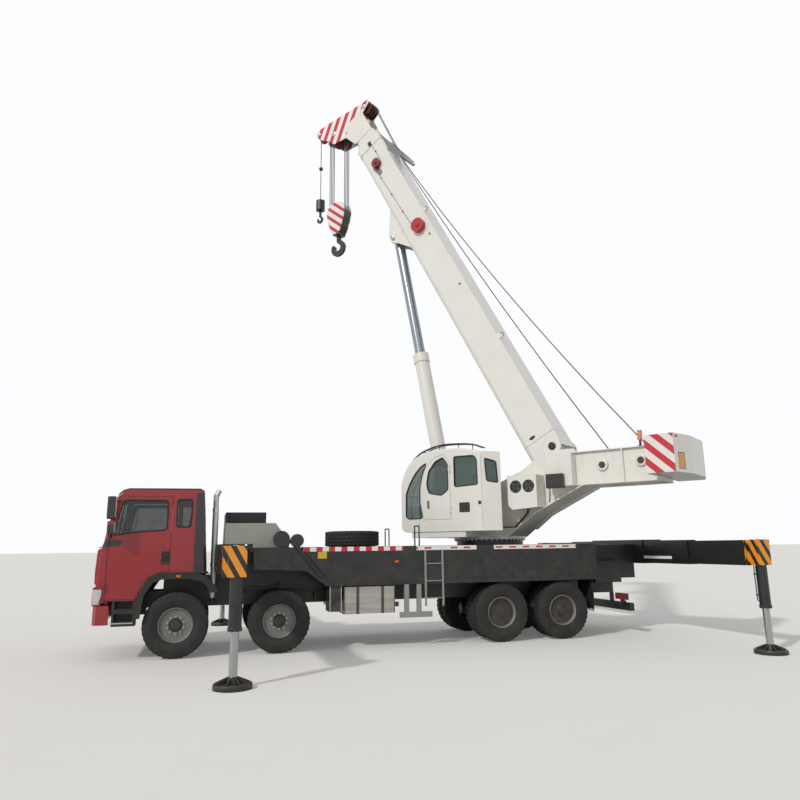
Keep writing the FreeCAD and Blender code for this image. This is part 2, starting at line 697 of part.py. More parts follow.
def cabFront():
    bumper = prismZ([(1100, -1215), (1300, -1215), (1362, -1120), (1362, 1120), (1300, 1215), (1100, 1215),
                     (1100, 1150), (1240, 1150), (1240, -1150), (1100, -1150)], 610, 925)
    bumper = fuse(bumper, box(1150, 1300, -1000, 1000, 900, 970))
    brackets = [box(railNose + seatGap, railNose + 135, s * railY - 30, s * railY + 30, 700, 920) for s in (-1, 1)]
    bumper = fuse(bumper, *brackets)
    grille = prismY([(1345.3, 1300), (1310.9, 1860), (1337, 1860), (1372, 1300)], -860, 860)
    bars = [prismY([(1340, z), (1340, z + 34), (1382 - (z - 1300) * 0.06, z + 30), (1382 - (z - 1300) * 0.06, z + 8)], -860, 860)
            for z in range(1335, 1850, 95)]
    grille = fuse(grille, *bars).cut(prismY([(1200, 1200), (1345.3, 1300), (1310.9, 1860), (1200, 1900)], -900, 900))
    lamps = []
    for s in (-1, 1):
        front = box(1347, 1372, *sorted((s * 830, s * 1222)), 930, 1235)
        side = box(1232, 1372, *sorted((s * (cabHalfWidth + seatGap), s * 1222)), 930, 1235)
        back = box(1301, 1350, *sorted((s * 850, s * 1210)), 930, 995)
        lamps.append(fuse(front, side, back))
        lamps.append(box(-50, 30, *sorted((s * (cabHalfWidth + archReach + seatGap), s * (cabHalfWidth + archReach + 16))),
                         1375, 1415))
    steps = []
    for s in (-1, 1):
        frameBox = box(668, 1050, s * 1090 - 110, s * 1090 + 110, 580, 999.5)
        for z in (650, 860):
            frameBox = frameBox.cut(box(720, 1010, s * 1200 - 160, s * 1200 + 160, z, z + 130))
        steps.append(frameBox)
    return {
        "bumper": bumper,
        "grille_and_headlamps": Part.makeCompound([grille] + lamps),
        "cab_steps": Part.makeCompound(steps),
    }


def carrierFittings():
    nodes = {}
    engine = box(-1080, 280, -379.7, 379.7, 830, 1380)
    stack = rod((-600, 880, 930), (-600, 880, 2850), 50)
    foot = box(-640, -560, 450.3, 900, 920, 1000)
    guard = rod((-600, 880, 1500), (-600, 880, 2600), 54)
    tip = rod((-600, 880, 2815), (-655, 880, 2935), 46)
    nodes["engine_and_exhaust"] = Part.makeCompound([engine, fuse(stack, foot, guard, tip)])
    coverSeat = beamBottom + outerBeamHeight + slideGap + beamWall + seatGap
    cover = [(-780, coverSeat), (-790, 2320), (-1700, 2320), (-1960, 1980), (-1960, deckTop + seatGap),
             (-1290, deckTop + seatGap), (-1290, coverSeat)]
    shell = prismY(cover, -1000, 1000)
    hollow = shrunk(cover, coverWall)
    shell = shell.cut(prismY(hollow, -1000 + coverWall, 1000 - coverWall))
    shell = shell.cut(box(-1950 + coverWall, -1290 - coverWall, -1000 + coverWall, 1000 - coverWall, 1800, 1930))
    shell = shell.cut(box(-1200, -785 - coverWall, -1000 + coverWall, 1000 - coverWall, 1900, 1990))
    intake = box(-1540, -790, -760, 760, 2320 + seatGap, 2530)
    nodes["service_cover"] = Part.makeCompound([shell, intake])
    tank = fuse(box(-3960, -2980, 700, 1200, 640, 1130), box(-3700, -3640, 450.3, 720, 900, 1000), box(-3300, -3240, 450.3, 720, 900, 1000))
    black = fuse(box(-2930, -2700, 800, 1200, 690, 1140), box(-2850, -2780, 450.3, 820, 900, 1000))
    nodes["tanks"] = Part.makeCompound([tank, black, mirrored(fuse(box(-3960, -2980, 760, 1200, 650, 1120), box(-3500, -3440, 450.3, 780, 900, 1000)))])
    spare = tyre(frontTyreWidth)
    rim = frontRim(frontTyreWidth)
    spare = Part.makeCompound([spare, rim])
    spare.rotate(V(0, 0, 0), V(1, 0, 0), 90)
    spare = moved(spare, -3370, 0, deckTop + frontTyreWidth / 2 + 0.3)
    nodes["spare_wheel"] = spare
    guards = []
    for s in (-1, 1):
        y0, y1 = sorted((s * 880, s * 1230))
        outer = prismY([(-1130, 1040), (-1190, 1175), (-2260, 1175), (-2440, 1040), (-2440, 900), (-1130, 900)], y0, y1)
        inner = prismY([(-1136, 890), (-1136, 1038), (-1194, 1169), (-2258, 1169), (-2434, 1038), (-2434, 890)], y0 - 5, y1 + 5)
        arm = box(-1830, -1770, *sorted((s * 640.3, s * 1000)), 1172, 1230)
        guards.append(fuse(outer.cut(inner), arm))
    for s in (-1, 1):
        y0, y1 = sorted((s * (cabHalfWidth + seatGap), s * (cabHalfWidth + archReach)))
        arch = prismY(archOuter + archInner[::-1], y0, y1)
        high = [(x * (1 + linerThickness / 500), z + linerThickness) for x, z in archInner[1:]]
        liner = prismY(high + archInner[:0:-1], *sorted((s * linerInnerY, s * (cabHalfWidth + 20))))
        guards.append(fuse(arch, liner))
    for s in (-1, 1):
        y0, y1 = sorted((s * 640.3, s * (deckHalfWidth - fasciaThickness - seatGap)))
        for a, b in ((-5480, -8180),):
            top = box(b, a, y0, y1, 1210, 1216)
            flap = box(b - 6, b, y0, y1, 560, 1216)
            guards.append(fuse(top, flap))
    nodes["mudguards"] = Part.makeCompound(guards)
    ladders = []
    for s in (-1, 1):
        y = s * (deckHalfWidth + 5 + 12 + seatGap)
        posts = [box(x - 18, x + 18, y - 12, y + 12, 740, 1790) for x in (-4560, -4910)]
        rungs = [rod((-4560, y, z), (-4910, y, z), 11) for z in (885, 1205, 1530)]
        feet = [box(x - 18, x + 18, *sorted((s * (deckHalfWidth + seatGap), y)), z, z + 60) for x in (-4560, -4910)
                for z in (1300, 1660)]
        ladders.append(fuse(*(posts + rungs + feet)))
        low, high = sorted((s * 1200, s * deckHalfWidth))
        guard = [box(a - 45, a + 45, low, high, 600, fasciaOutline[3][1] - seatGap) for a in (-4185, -4430)]
        ladders.append(fuse(box(-4690, -4050, low, high, 540, 640), *guard))
    bar = box(-9180, -9080, -1150, 1150, 480, 640)
    hangers = [box(-9160, -9090, s * railY - 30, s * railY + 30, 600, railBottom - seatGap) for s in (-1, 1)]
    struts = [prismX([(s * railY - 20, 650), (s * railY + 20, 650), (s * 900 + 20, 500), (s * 900 - 20, 500)], -9130, -9095)
              for s in (-1, 1)]
    bar = fuse(bar, *(hangers + struts))
    lamps = []
    for s in (-1, 1):
        y0, y1 = sorted((s * 780, s * 1180))
        lamps.append(fuse(box(-9040, -8980, y0, y1, 705, 835), box(-9075, -9020, *sorted((s * 900, s * 960)), 600, 800)))
        lamps[-1] = fuse(lamps[-1], box(-9120, -9050, *sorted((s * 900, s * 960)), 600, 680))
    bar = fuse(bar, *lamps)
    nodes["ladders_and_underrun_bar"] = Part.makeCompound([bar] + ladders)
    return nodes


def upperStructure():
    nodes = {}
    plates = []
    for s in (-1, 1):
        y0, y1 = sorted((s * plateInner, s * (plateInner + plateThickness)))
        plate = prismY(towerOutline, y0, y1)
        ear = rod((boomPivotAlong, y0, boomPivotZ), (boomPivotAlong, y1, boomPivotZ), 190)
        plates.append(fuse(plate, ear))
    base = rod((0, 0, deckTop + slewRingHeight + seatGap), (0, 0, 2045), slewRingRadius + 60)
    wallBack = box(-3880, -3830, -plateInner - 10, plateInner + 10, 3020, 3650)
    tie = box(-2300, -2200, -plateInner - 10, plateInner + 10, 3020, 3140)
    front = prismY([(-700, 2030), (-1300, 2490), (-2400, 3020), (-2360, 3060), (-1260, 2530), (-660, 2080)],
                   -plateInner - 10, plateInner + 10)
    platform = fuse(box(-180, 1160, plateInner + 20, operatorCabOuter - 20, 2030, 2149.7),
                    box(-560, -170, plateInner + 20, 700, 2030, 2149.7))
    cooler = prismY(coolerOutline, plateInner + 40, coolerOuter)
    shaped = []
    for s in (-1, 1):
        shaped.append(box(-2260, -1720, *sorted((s * (plateInner + 10), s * cornerBoxOuter)), 2995, 3650))
        y0, y1 = sorted((s * (plateInner - 10), s * (plateInner + plateThickness + flangeDepth)))
        shaped.append(box(-3880, -2240, y0, y1, 3020 - tailFlange, 3020))
        shaped.append(box(-3880, -2240, y0, y1, 3650, 3650 + tailFlange))
        shaped.append(box(-3230, -3200, y0, y1, 3010, 3660))
        edge = [(-2400, 3020), (-1300, 2490), (-925, 2202), (-939, 2184), (-1310, 2468), (-2410, 2998)]
        shaped.append(prismY(edge, y0, y1))
    for along in fans:
        tunnel = rod((along, coolerOuter - 40, fanZ), (along, coolerOuter + 5, fanZ), fanRadius)
        cooler = cooler.cut(tunnel)
        blades = [rod((along, coolerOuter - 40, fanZ), (along, coolerOuter - 12, fanZ), 40)]
        for k in range(5):
            angle = math.radians(72 * k + 10)
            tip = (along + fanRadius * 1.02 * math.cos(angle), coolerOuter - 26, fanZ + fanRadius * 1.02 * math.sin(angle))
            blades.append(rod((along, coolerOuter - 26, fanZ), tip, 13))
        cooler = fuse(cooler, *blades)
    rightBox = box(-100, 900, -1150, -plateInner - 40, 2120, 2900)
    bosses = [rod((liftFootAlong, s * (liftFootWidth + seatGap), liftFootZ), (liftFootAlong, s * (plateInner + 5), liftFootZ),
                  liftFootRadius) for s in (-1, 1)]
    body = fuse(*(plates + bosses + shaped + [base, wallBack, tie, front, platform, cooler, rightBox]))
    for along, z in winches:
        for s in (-1, 1):
            body = body.cut(rod((along, s * (plateInner - 5), z), (along, s * (plateInner + plateThickness + 5), z), 60))
    hole = rod((boomPivotAlong, -600, boomPivotZ), (boomPivotAlong, 600, boomPivotZ), footPinRadius + footPinGap)
    nodes["turntable"] = body.cut(hole)
    plan = [(a, b) for a, b in counterweightPlan] + [(a, -b) for a, b in reversed(counterweightPlan)]
    nodes["counterweight"] = prismZ(plan, counterweightBottom, counterweightTop)
    drums = []
    for along, z in winches:
        drum = rod((along, -300, z), (along, 300, z), drumRadiusWinch)
        rims = [rod((along, s * 300, z), (along, s * 330, z), flangeRadius) for s in (-1, 1)]
        shaft = rod((along, -plateInner - plateThickness - 60, z), (along, plateInner + plateThickness + 60, z), 59.7)
        face = plateInner + plateThickness + seatGap
        caps = [rod((along, s * face, z), (along, s * (face + 30), z), hubFlangeRadius) for s in (-1, 1)]
        drums.append(fuse(drum, shaft, *(rims + caps)))
    nodes["winches"] = Part.makeCompound(drums)
    nodes["upper_fittings"] = Part.makeCompound(upperFittings())
    return nodes


def cornerWall(across):
    # How far along the cab's slanted rear wall stands at a place across
    (a0, b0), (a1, b1) = operatorCabPlan[4:6]
    return a0 + (a1 - a0) * (b0 - across) / (b0 - b1)


def upperFittings():
    solids = []
    face = cornerBoxOuter + seatGap
    control = box(-2100, -1745, face, face + 115, 2955, 3235)
    control = control.makeFillet(8, control.Edges)
    lid = box(-2085, -1760, face + 100, face + 121, 2970, 3220)
    tail = [rod((-1800, face + 60, 2965), (-1800, face + 60, 2850), 12), rod((-1800, face + 60, 2856), (-1720, 560, 2700), 12)]
    solids.append(fuse(control, lid, *tail))
    rail = []
    for (a, z), (c, w) in zip(roofRail, roofRail[1:]):
        rail.append(rod((a, railAcross, z), (c, railAcross, w), 12))
        rail.append(Part.makeSphere(12, V(c, railAcross, w)))
    for a, z, foot in ((930, 3880, 3801), (480, 3985, 3880.5), (0, 3975, 3880.5), (-340, 3930, 3823)):
        rail.append(rod((a, railAcross, foot + seatGap), (a, railAcross, z), 9))
    solids.append(fuse(*rail))
    y = plateInner + plateThickness + 20
    top = 3650 + tailFlange + seatGap
    solids.append(fuse(rod((beaconAlong, y, top), (beaconAlong, y, top + 12), 50),
                       rod((beaconAlong, y, top), (beaconAlong, y, beaconTop - 180), 22),
                       rod((beaconAlong, y, beaconTop - 185), (beaconAlong, y, beaconTop), 46)))
    for k in range(3):
        y = plateInner + plateThickness + flangeDepth + 25 + 34 * k
        start = cornerWall(y + 30) - hoseSeat
        path = [(start, y + 30, 2224), (-940, y + 30, 2224), (-1040, y, 2330), (-1180, y, 2460),
                (-1230, y, 2530), (-1230, y, 2575.2)]
        hose = [rod(a, b, 13) for a, b in zip(path, path[1:])] + [Part.makeSphere(13, V(*q)) for q in path[1:-1]]
        solids.append(fuse(*hose))
    return solids


def onRearCorner(outline, low, high):
    # Drawn with the corner's outer face at y = 0 and the inside towards +Y
    (a0, b0), (a1, b1) = operatorCabPlan[3:5]
    shape = prismY(outline, low, high)
    shape.rotate(V(0, 0, 0), V(0, 0, 1), math.degrees(math.atan2(b1 - b0, a1 - a0)))
    return moved(shape, a0, b0, 0)


def operatorCab():
    nodes = {}
    outer = prismY(operatorCabOutline, operatorCabInner, operatorCabOuter)
    outer = outer.common(prismZ(operatorCabPlan, 2000, 4000))
    soft = [e for e in sideEdges(outer, operatorCabOuter, lambda m: m.z > 2400)]
    outer = outer.makeFillet(operatorEdgeRadius, soft)
    inner = prismY(shrunk(operatorCabOutline, operatorCabWall), operatorCabInner + operatorCabWall,
                   operatorCabOuter - operatorCabWall)
    inner = inner.common(prismZ(shrunk(operatorCabPlan, operatorCabWall), 2000, 4000))
    shell = outer.cut(inner)
    y0 = operatorCabOuter - operatorCabWall - 5
    y1 = operatorCabOuter + 5
    shell = shell.cut(prismY(operatorDoor, y0, y1))
    shell = shell.cut(prismY(operatorSideWindow, y0, y1))
    shell = shell.cut(prismY(operatorFrontWindow, y0, y1))
    shell = shell.cut(onRearCorner(operatorRearWindow, -5, operatorCabWall + 5))
    screen = box(950, 1600, operatorCabInner + 90, operatorCabOuter - 130, 2420, 3700)
    shell = shell.cut(screen)
    nodes["operator_cab"] = shell
    middle = operatorCabOuter - operatorCabWall / 2
    panes = [prismY(shrunk(window, glassGap), middle - glassThickness / 2, middle + glassThickness / 2)
             for window in (operatorSideWindow, operatorFrontWindow)]
    panes.append(onRearCorner(shrunk(operatorRearWindow, glassGap), (operatorCabWall - glassThickness) / 2,
                              (operatorCabWall + glassThickness) / 2))
    front = prismY(shrunk(operatorCabOutline, operatorCabWall / 2), operatorCabInner + 90 + glassGap,
                   operatorCabOuter - 130 - glassGap)
    back = prismY(shrunk(operatorCabOutline, operatorCabWall / 2 + glassThickness), 0, 2000)
    front = front.cut(back).common(box(950, 1600, 0, 2000, 2420 + glassGap, 3700 - glassGap))
    nodes["operator_cab_glass"] = Part.makeCompound(panes + [front])
    door = prismY(shrunk(operatorDoor, doorGap), operatorCabOuter - operatorCabWall, operatorCabOuter)
    door = door.cut(prismY(operatorDoorWindow, y0, y1))
    leaves = []
    fixed = []
    for z in operatorHinges:
        leaves += hingeParts(operatorHingeX, operatorCabOuter, [(z, z + hingeHeight)], 45)
        fixed += hingeParts(operatorHingeX, operatorCabOuter,
                            [(z - 40, z - seatGap), (z + hingeHeight + seatGap, z + hingeHeight + 40)], -30)
    handle = fuse(rod((700, operatorCabOuter - 5, 2790), (700, operatorCabOuter + 35, 2790), 10),
                  rod((700, operatorCabOuter - 5, 2650), (700, operatorCabOuter + 35, 2650), 10),
                  rod((700, operatorCabOuter + 35, 2640), (700, operatorCabOuter + 35, 2800), 12))
    nodes["operator_cab"] = fuse(shell, *fixed)
    door = fuse(door, handle, *leaves)
    doorPane = prismY(shrunk(operatorDoorWindow, glassGap), middle - glassThickness / 2, middle + glassThickness / 2)
    nodes["operator_door"] = Part.makeCompound([door, doorPane])
    floor = 2150 + operatorCabWall
    seat = fuse(box(-250, 200, 680, 1080, floor, floor + 350), box(-280, 260, 640, 1120, floor + 350, floor + 480),
                prismY([(-280, floor + 470), (-160, floor + 470), (-260, floor + 1150), (-370, floor + 1150)], 650, 1110))
    nodes["operator_seat"] = seat
    return nodes


def boomSection(index, start, end, extra=0):
    # A flat top and sides with a rounded underside; each section fits inside the one before
    inset = index * boomStep - extra
    half = boomWidth / 2 - inset
    top = boomTop - inset
    bottom = boomTop - boomDepth + inset
    shoulder = bottom + 170
    side = 120
    points = [V(start, -half, shoulder), V(start, -half, top), V(start, half, top), V(start, half, shoulder)]
    edges = [Part.LineSegment(a, b).toShape() for a, b in zip(points, points[1:])]
    lowRight = V(start, half - side, bottom)
    lowLeft = V(start, -half + side, bottom)
    bulge = side * (1 - math.sqrt(0.5))
    edges.append(Part.Arc(points[3], V(start, half - bulge, bottom + 170 * (1 - math.sqrt(0.5))), lowRight).toShape())
    edges.append(Part.LineSegment(lowRight, lowLeft).toShape())
    edges.append(Part.Arc(lowLeft, V(start, -half + bulge, bottom + 170 * (1 - math.sqrt(0.5))), points[0]).toShape())
    face = Part.Face(Part.Wire(edges))
    return face.extrude(V(end - start, 0, 0))


def slidePad(index, end):
    # The next section's underside slides just above this pad
    low = boomTop - boomDepth + index * boomStep
    return box(end - 260, end - 30, -130, 130, low + boomWall / 2, low + boomStep - seatGap)


def boom():
    nodes = {}
    tube = boomSection(0, boomStart, boomEnd).cut(boomSection(0, boomStart + 20, boomEnd + 5, -boomWall))
    collar = boomSection(0, boomEnd - 240, boomEnd, 14).cut(boomSection(0, boomEnd - 250, boomEnd + 5, -boomWall))
    pinBoss = rod((0, -plateInner + 8, 0), (0, plateInner - 8, 0), 120)
    pin = rod((0, -plateInner - plateThickness - 25, 0), (0, plateInner + plateThickness + 25, 0), footPinRadius)
    lugs = []
    low = boomTop - boomDepth + 20
    for s in (-1, 1):
        y0, y1 = sorted((s * 210, s * 260))
        lugs.append(prismY([(liftPinAlong + da, off) for da, off in (
            (-660, low), (790, low), (140, liftPinOff - 85), (-100, liftPinOff - 105), (-200, liftPinOff + 15))], y0, y1))
    liftPin = rod((liftPinAlong, -300, liftPinOff), (liftPinAlong, 300, liftPinOff), liftPinRadius)
    base = fuse(tube, collar, pinBoss, pin, liftPin, *lugs)
    fittings = [rod((boomEnd - back, boomWidth / 2 - 5, off), (boomEnd - back, boomWidth / 2 + reach, off), radius)
                for back, off, radius, reach in reels]
    fittings += [rod((boomEnd - back, boomWidth / 2 - 5, off), (boomEnd - back, boomWidth / 2 + reach + 30, off), radius * 0.35)
                 for back, off, radius, reach in reels]
    for s in (-1, 1):
        y0, y1 = sorted((s * 270, s * 292))
        fittings.append(prismY([(boomEnd - back, off + boomTop - 180) for back, off in rollerArm], y0, y1))
    fittings += [rod((boomEnd - 1220, -300, boomTop + 235), (boomEnd - 1220, 300, boomTop + 235), 40),
                 box(boomEnd - 690, boomEnd - 610, -280, 280, boomTop - 20, boomTop + 20)]
    for along in (0.28 * boomEnd, 0.6927 * boomEnd):
        fittings.append(box(along - 60, along + 60, 250, 300, boomTop - 5, boomTop + 70))
    base = fuse(base, *fittings)
    base = base.cut(boomSection(0, sectionStart - 60, boomEnd + 5, -boomWall))
    base = fuse(base, slidePad(0, boomEnd))
    nodes["boom_base"] = base
    for index in range(1, 5):
        start = sectionStart + index * 20
        end = boomEnd + index * sectionStagger
        tube = boomSection(index, start, end).cut(boomSection(index, start - 5, end + 5, -boomWall))
        name = "boom_section_%d" % (index + 1)
        if index < 4:
            tube = fuse(tube, slidePad(index, end))
        else:
            tube = fuse(tube, head(end))
            name = "boom_head_section"
        nodes[name] = tube
    return nodes


def head(end):
    plates = []
    outline = [(end - 60, 75)] + [(headSheaveAlong + da, headSheaveOff + dz) for da, dz in headTop]
    outline += [(noseSheaveAlong + da, noseSheaveOff + dz) for da, dz in headNose]
    outline += [(headSheaveAlong + da, headSheaveOff + dz) for da, dz in headUnder] + [(end - 60, -540)]
    for s in (-1, 1):
        y0, y1 = sorted((s * headPlateY, s * (headPlateY - headPlateThickness)))
        plates.append(prismY(outline, y0, y1))
    web = box(end - 60, end - 40, -headPlateY + 5, headPlateY - 5, -500, 70)
    half = headPlateY - 5
    sheave = rod((headSheaveAlong, -120, headSheaveOff), (headSheaveAlong, 120, headSheaveOff),
                 headSheaveRadius - ropeRadius - seatGap)
    axis = rod((headSheaveAlong, -half, headSheaveOff), (headSheaveAlong, half, headSheaveOff), 45)
    nose = rod((noseSheaveAlong, -30, noseSheaveOff), (noseSheaveAlong, 30, noseSheaveOff),
               noseSheaveRadius - ropeRadius - seatGap)
    noseAxis = rod((noseSheaveAlong, -half, noseSheaveOff), (noseSheaveAlong, half, noseSheaveOff), 30)
    topX = headSheaveAlong - 160
    topZ = headSheaveOff + 1195
    top = fuse(*[rod((topX, y - 18, topZ), (topX, y + 18, topZ), 190) for y in (-150, -50, 50, 150)])
    topAxis = rod((topX, -half, topZ), (topX, half, topZ), 35)
    corner = headSheaveAlong - 520
    under = prismY([(end - 45, -540), (corner, -690), (corner - 8, -704), (end - 45, -556)], -half, half)
    top = fuse(top, under)
    return fuse(*(plates + [web, sheave, axis, nose, noseAxis, top, topAxis]))


def boomPoint(along, off):
    angle = math.radians(boomElevation)
    return (boomPivotAlong + along * math.cos(angle) - off * math.sin(angle),
            boomPivotZ + along * math.sin(angle) + off * math.cos(angle))


def liftCylinder():
    a, z = boomPoint(liftPinAlong, liftPinOff)
    da = liftFootAlong - a
    dz = liftFootZ - z
    length = math.hypot(da, dz)
    # Drawn along -Z from the upper pin, then turned in line with the foot
    eye = rod((0, -170, 0), (0, 170, 0), liftEyeRadius)
    shaft = rod((0, 0, -60), (0, 0, -liftRodLength), liftRodRadius)
    hole = rod((0, -180, 0), (0, 180, 0), liftPinRadius + footPinGap)
    piston = fuse(eye, shaft).cut(hole)
    top = -(length - barrelLength)
    barrel = rod((0, 0, top), (0, 0, -length), barrelRadius)
    gland = rod((0, 0, top), (0, 0, top - 220), barrelRadius + 18)
    footEye = rod((0, -liftFootWidth, -length), (0, liftFootWidth, -length), liftFootRadius)
    barrel = fuse(barrel, gland, footEye).common(Part.makeBox(1000, 1000, 9000, V(-500, -500, -length - liftFootRadius)))
    barrel = barrel.cut(rod((0, 0, top + 5), (0, 0, top - liftRodLength + 5), liftRodRadius + bearingGap))
    turn = math.degrees(math.atan2(-da, -dz))
    shapes = []
    for shape in (piston, barrel):
        shape = shape.copy()
        shape.rotate(V(0, 0, 0), V(0, 1, 0), turn)
        shapes.append(moved(shape, a, 0, z))
    return {"lift_rod": shapes[0], "lift_barrel": shapes[1]}


def hooks():
    nodes = {}
    a, z = boomPoint(headSheaveAlong, headSheaveOff)
    centre = z - hookDrop
    falls = [rod((a + s * headSheaveRadius, y, centre), (a + s * headSheaveRadius, y, z), ropeRadius)
             for s in (-1, 1) for y in (-90, -30, 30, 90)]
    plates = []
    for s in (-1, 1):
        y0, y1 = sorted((s * 135, s * 155))
        shape = prismY([(a + da, centre + dz) for da, dz in cheekOutline], y0, y1)
        plates.append(shape)
    sheaves = rod((a, -136, centre), (a, 136, centre), headSheaveRadius - ropeRadius + 3)
    guard = prismY([(a - 320, centre - 60), (a - 300, centre - 150), (a - 215, centre - 400), (a - 120, centre - 560),
                    (a + 120, centre - 560), (a + 215, centre - 400), (a + 300, centre - 150), (a + 320, centre - 60)], -136, 136)
    rear = prismY([(a - 320, centre + 60), (a - 320, centre - 60), (a - 280, centre - 60), (a - 280, centre + 60)], -136, 136)
    low = centre - 640
    cross = box(a - 110, a + 110, -155, 155, low, low + 120)
    block = fuse(*(falls + plates + [sheaves, guard, rear, cross])).cut(rod((a, 0, low - 5), (a, 0, low + 65), 40 + seatGap))
    bend = prismY([(a + da, low - 350 + dz) for da, dz in hookOutline], -42, 42)
    hook = fuse(rod((a, 0, low - 120), (a, 0, low - seatGap), 52), rod((a, 0, low - 10), (a, 0, low + 60), 40), bend)
    nodes["main_hook"] = Part.makeCompound([block, hook])
    a, z = boomPoint(noseSheaveAlong, noseSheaveOff)
    a = a + noseSheaveRadius
    low = z - auxHookDrop
    line = rod((a, 0, low), (a, 0, z), ropeRadius)
    ball = Part.makeSphere(60, V(a, 0, z - 950))
    weight = fuse(rod((a, 0, low - 150), (a, 0, low + 150), 130), rod((a, 0, low - 250), (a, 0, low - 100), 40))
    weight = weight.cut(rod((a, 0, low - 255), (a, 0, low - 205), 20 + seatGap))
    bend = prismY([(a + 0.45 * da, low - 440 + 0.45 * dz) for da, dz in hookOutline], -20, 20)
    hook = fuse(rod((a, 0, low - 350), (a, 0, low - 250 - seatGap), 38), rod((a, 0, low - 260), (a, 0, low - 210), 20), bend)
    nodes["auxiliary_hook"] = Part.makeCompound([fuse(line, ball, weight), hook])
    return nodes


def onTurntable(shape):
    result = shape.copy()
    result.rotate(V(0, 0, 0), V(0, 0, 1), slewAngle)
    result.translate(V(slewX, 0, 0))
    return result


def onBoom(shape):
    result = shape.copy()
    result.rotate(V(0, 0, 0), V(0, 1, 0), -boomElevation)
    result.translate(V(boomPivotAlong, 0, boomPivotZ))
    return onTurntable(result)


def assembly():
    nodes = {}
    for group in (wheels, knuckles, axles, frame, deck, outriggers, cabPieces, cabInterior, cabFront, carrierFittings):
        nodes.update(group())
    for group in (upperStructure, operatorCab, liftCylinder, hooks):
        for name, shape in group().items():
            nodes[name] = onTurntable(shape)
    for name, shape in boom().items():
        nodes[name] = onBoom(shape)
    return nodes


nodes = assembly()
whole = FreeCAD.BoundBox()
for shape in nodes.values():
    whole.add(shape.BoundBox)
# The part's origin is on the ground, below the middle of its box
originX = whole.Center.x
originY = whole.Center.y
print("origin", originX, originY, whole.ZMin, whole.ZMax, len(nodes))
os.makedirs("parts", exist_ok=True)
for name, shape in nodes.items():
    placed = moved(shape, -originX, -originY, 0)
    placed.exportStep("parts/%s.step" % name)
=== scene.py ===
import math
import bmesh
import bpy
from mathutils import Matrix, Vector


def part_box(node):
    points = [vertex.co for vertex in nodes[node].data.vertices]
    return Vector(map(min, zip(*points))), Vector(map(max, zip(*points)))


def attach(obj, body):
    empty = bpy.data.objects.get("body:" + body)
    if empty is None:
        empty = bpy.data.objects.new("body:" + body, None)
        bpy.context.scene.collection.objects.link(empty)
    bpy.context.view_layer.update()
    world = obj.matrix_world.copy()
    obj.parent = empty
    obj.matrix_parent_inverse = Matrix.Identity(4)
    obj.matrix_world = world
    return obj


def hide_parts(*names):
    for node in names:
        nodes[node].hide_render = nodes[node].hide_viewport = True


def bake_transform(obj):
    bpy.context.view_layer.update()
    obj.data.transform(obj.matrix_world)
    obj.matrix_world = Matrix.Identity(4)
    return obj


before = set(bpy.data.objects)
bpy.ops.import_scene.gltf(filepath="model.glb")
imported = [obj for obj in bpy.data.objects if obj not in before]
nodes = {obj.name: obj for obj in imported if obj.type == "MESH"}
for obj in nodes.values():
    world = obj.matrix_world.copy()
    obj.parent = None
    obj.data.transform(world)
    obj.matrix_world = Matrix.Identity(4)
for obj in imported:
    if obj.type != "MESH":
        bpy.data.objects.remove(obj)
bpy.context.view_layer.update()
print("frame loaded with", len(nodes), "nodes")

# What the crane's main groups share, in metres and degrees
crane = {
    "slewBack": 6.45, "slewTurn": -52, "boomLift": 62.2, "boomPin": (-1.78, 0, 3.84),
    "axles": (0.0, -1.8, -6.15, -7.49), "jackAcross": 4.06, "winches": ((-2.81, 3.37), (-3.56, 3.40)),
    "fans": (-1.1, -1.385), "fanHeight": 3.025, "reels": ((6.76, -0.115), (9.365, -0.255)),
    "boltHoles": ((6.36, 0.02), (4.62, 0.03)),
}


def placed(spot, turn, axis="Y"):
    return Matrix.Translation(spot) @ Matrix.Rotation(math.radians(turn), 4, axis)


# Frames of the main groups: the truck from its first axle, the upper structure from the
# slewing axis, the boom from its foot pin
wheelLow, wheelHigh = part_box("wheel_1_left")
truckFrame = Matrix.Translation(((wheelLow.x + wheelHigh.x) / 2, 0, 0))
upperFrame = truckFrame @ placed((-crane["slewBack"], 0, 0), crane["slewTurn"], "Z")
boomFrame = upperFrame @ placed(crane["boomPin"], -crane["boomLift"])
bothSides = (("left", 1), ("right", -1))


def fromBytes(red, green, blue):
    # A colour as a screen shows it, turned into the linear one that a shader wants
    return tuple((c / 255 / 12.92 if c < 11 else ((c / 255 + 0.055) / 1.055) ** 2.4)
                 for c in (red, green, blue)) + (1,)


class Value:
    # A node's output that takes part in plain expressions
    def __init__(self, maker, socket):
        self.maker, self.socket = maker, socket

    def maths(self, operation, *others):
        sockets = dict(enumerate((self,) + others))
        return self.maker.node("ShaderNodeMath", {"operation": operation}, sockets)

    def flipped(self, operation, other):
        return self.maker.node("ShaderNodeMath", {"operation": operation}, {0: other, 1: self})

    def __add__(self, other):
        return self.maths("ADD", other)

    def __sub__(self, other):
        return self.maths("SUBTRACT", other)

    def __rsub__(self, other):
        return self.flipped("SUBTRACT", other)

    def __mul__(self, other):
        return self.maths("MULTIPLY", other)

    def __truediv__(self, other):
        return self.maths("DIVIDE", other)

    def __abs__(self):
        return self.maths("ABSOLUTE")

    __radd__ = __add__
    __rmul__ = __mul__

    def above(self, limit):
        return self.maths("GREATER_THAN", limit)

    def below(self, limit):
        return self.maths("LESS_THAN", limit)

    def within(self, low, high):
        return self.above(low) * self.below(high)

    def orElse(self, other):
        return self.maths("MAXIMUM", other)

    def ramp(self, low, high, atLow=0.0, atHigh=1.0):
        return self.maker.node("ShaderNodeMapRange", {"clamp": True},
                               {0: self, 1: low, 2: high, 3: atLow, 4: atHigh})

    def bands(self, pitch, share, start=0.0):
        return ((self - start) / pitch).maths("FRACT").below(share)


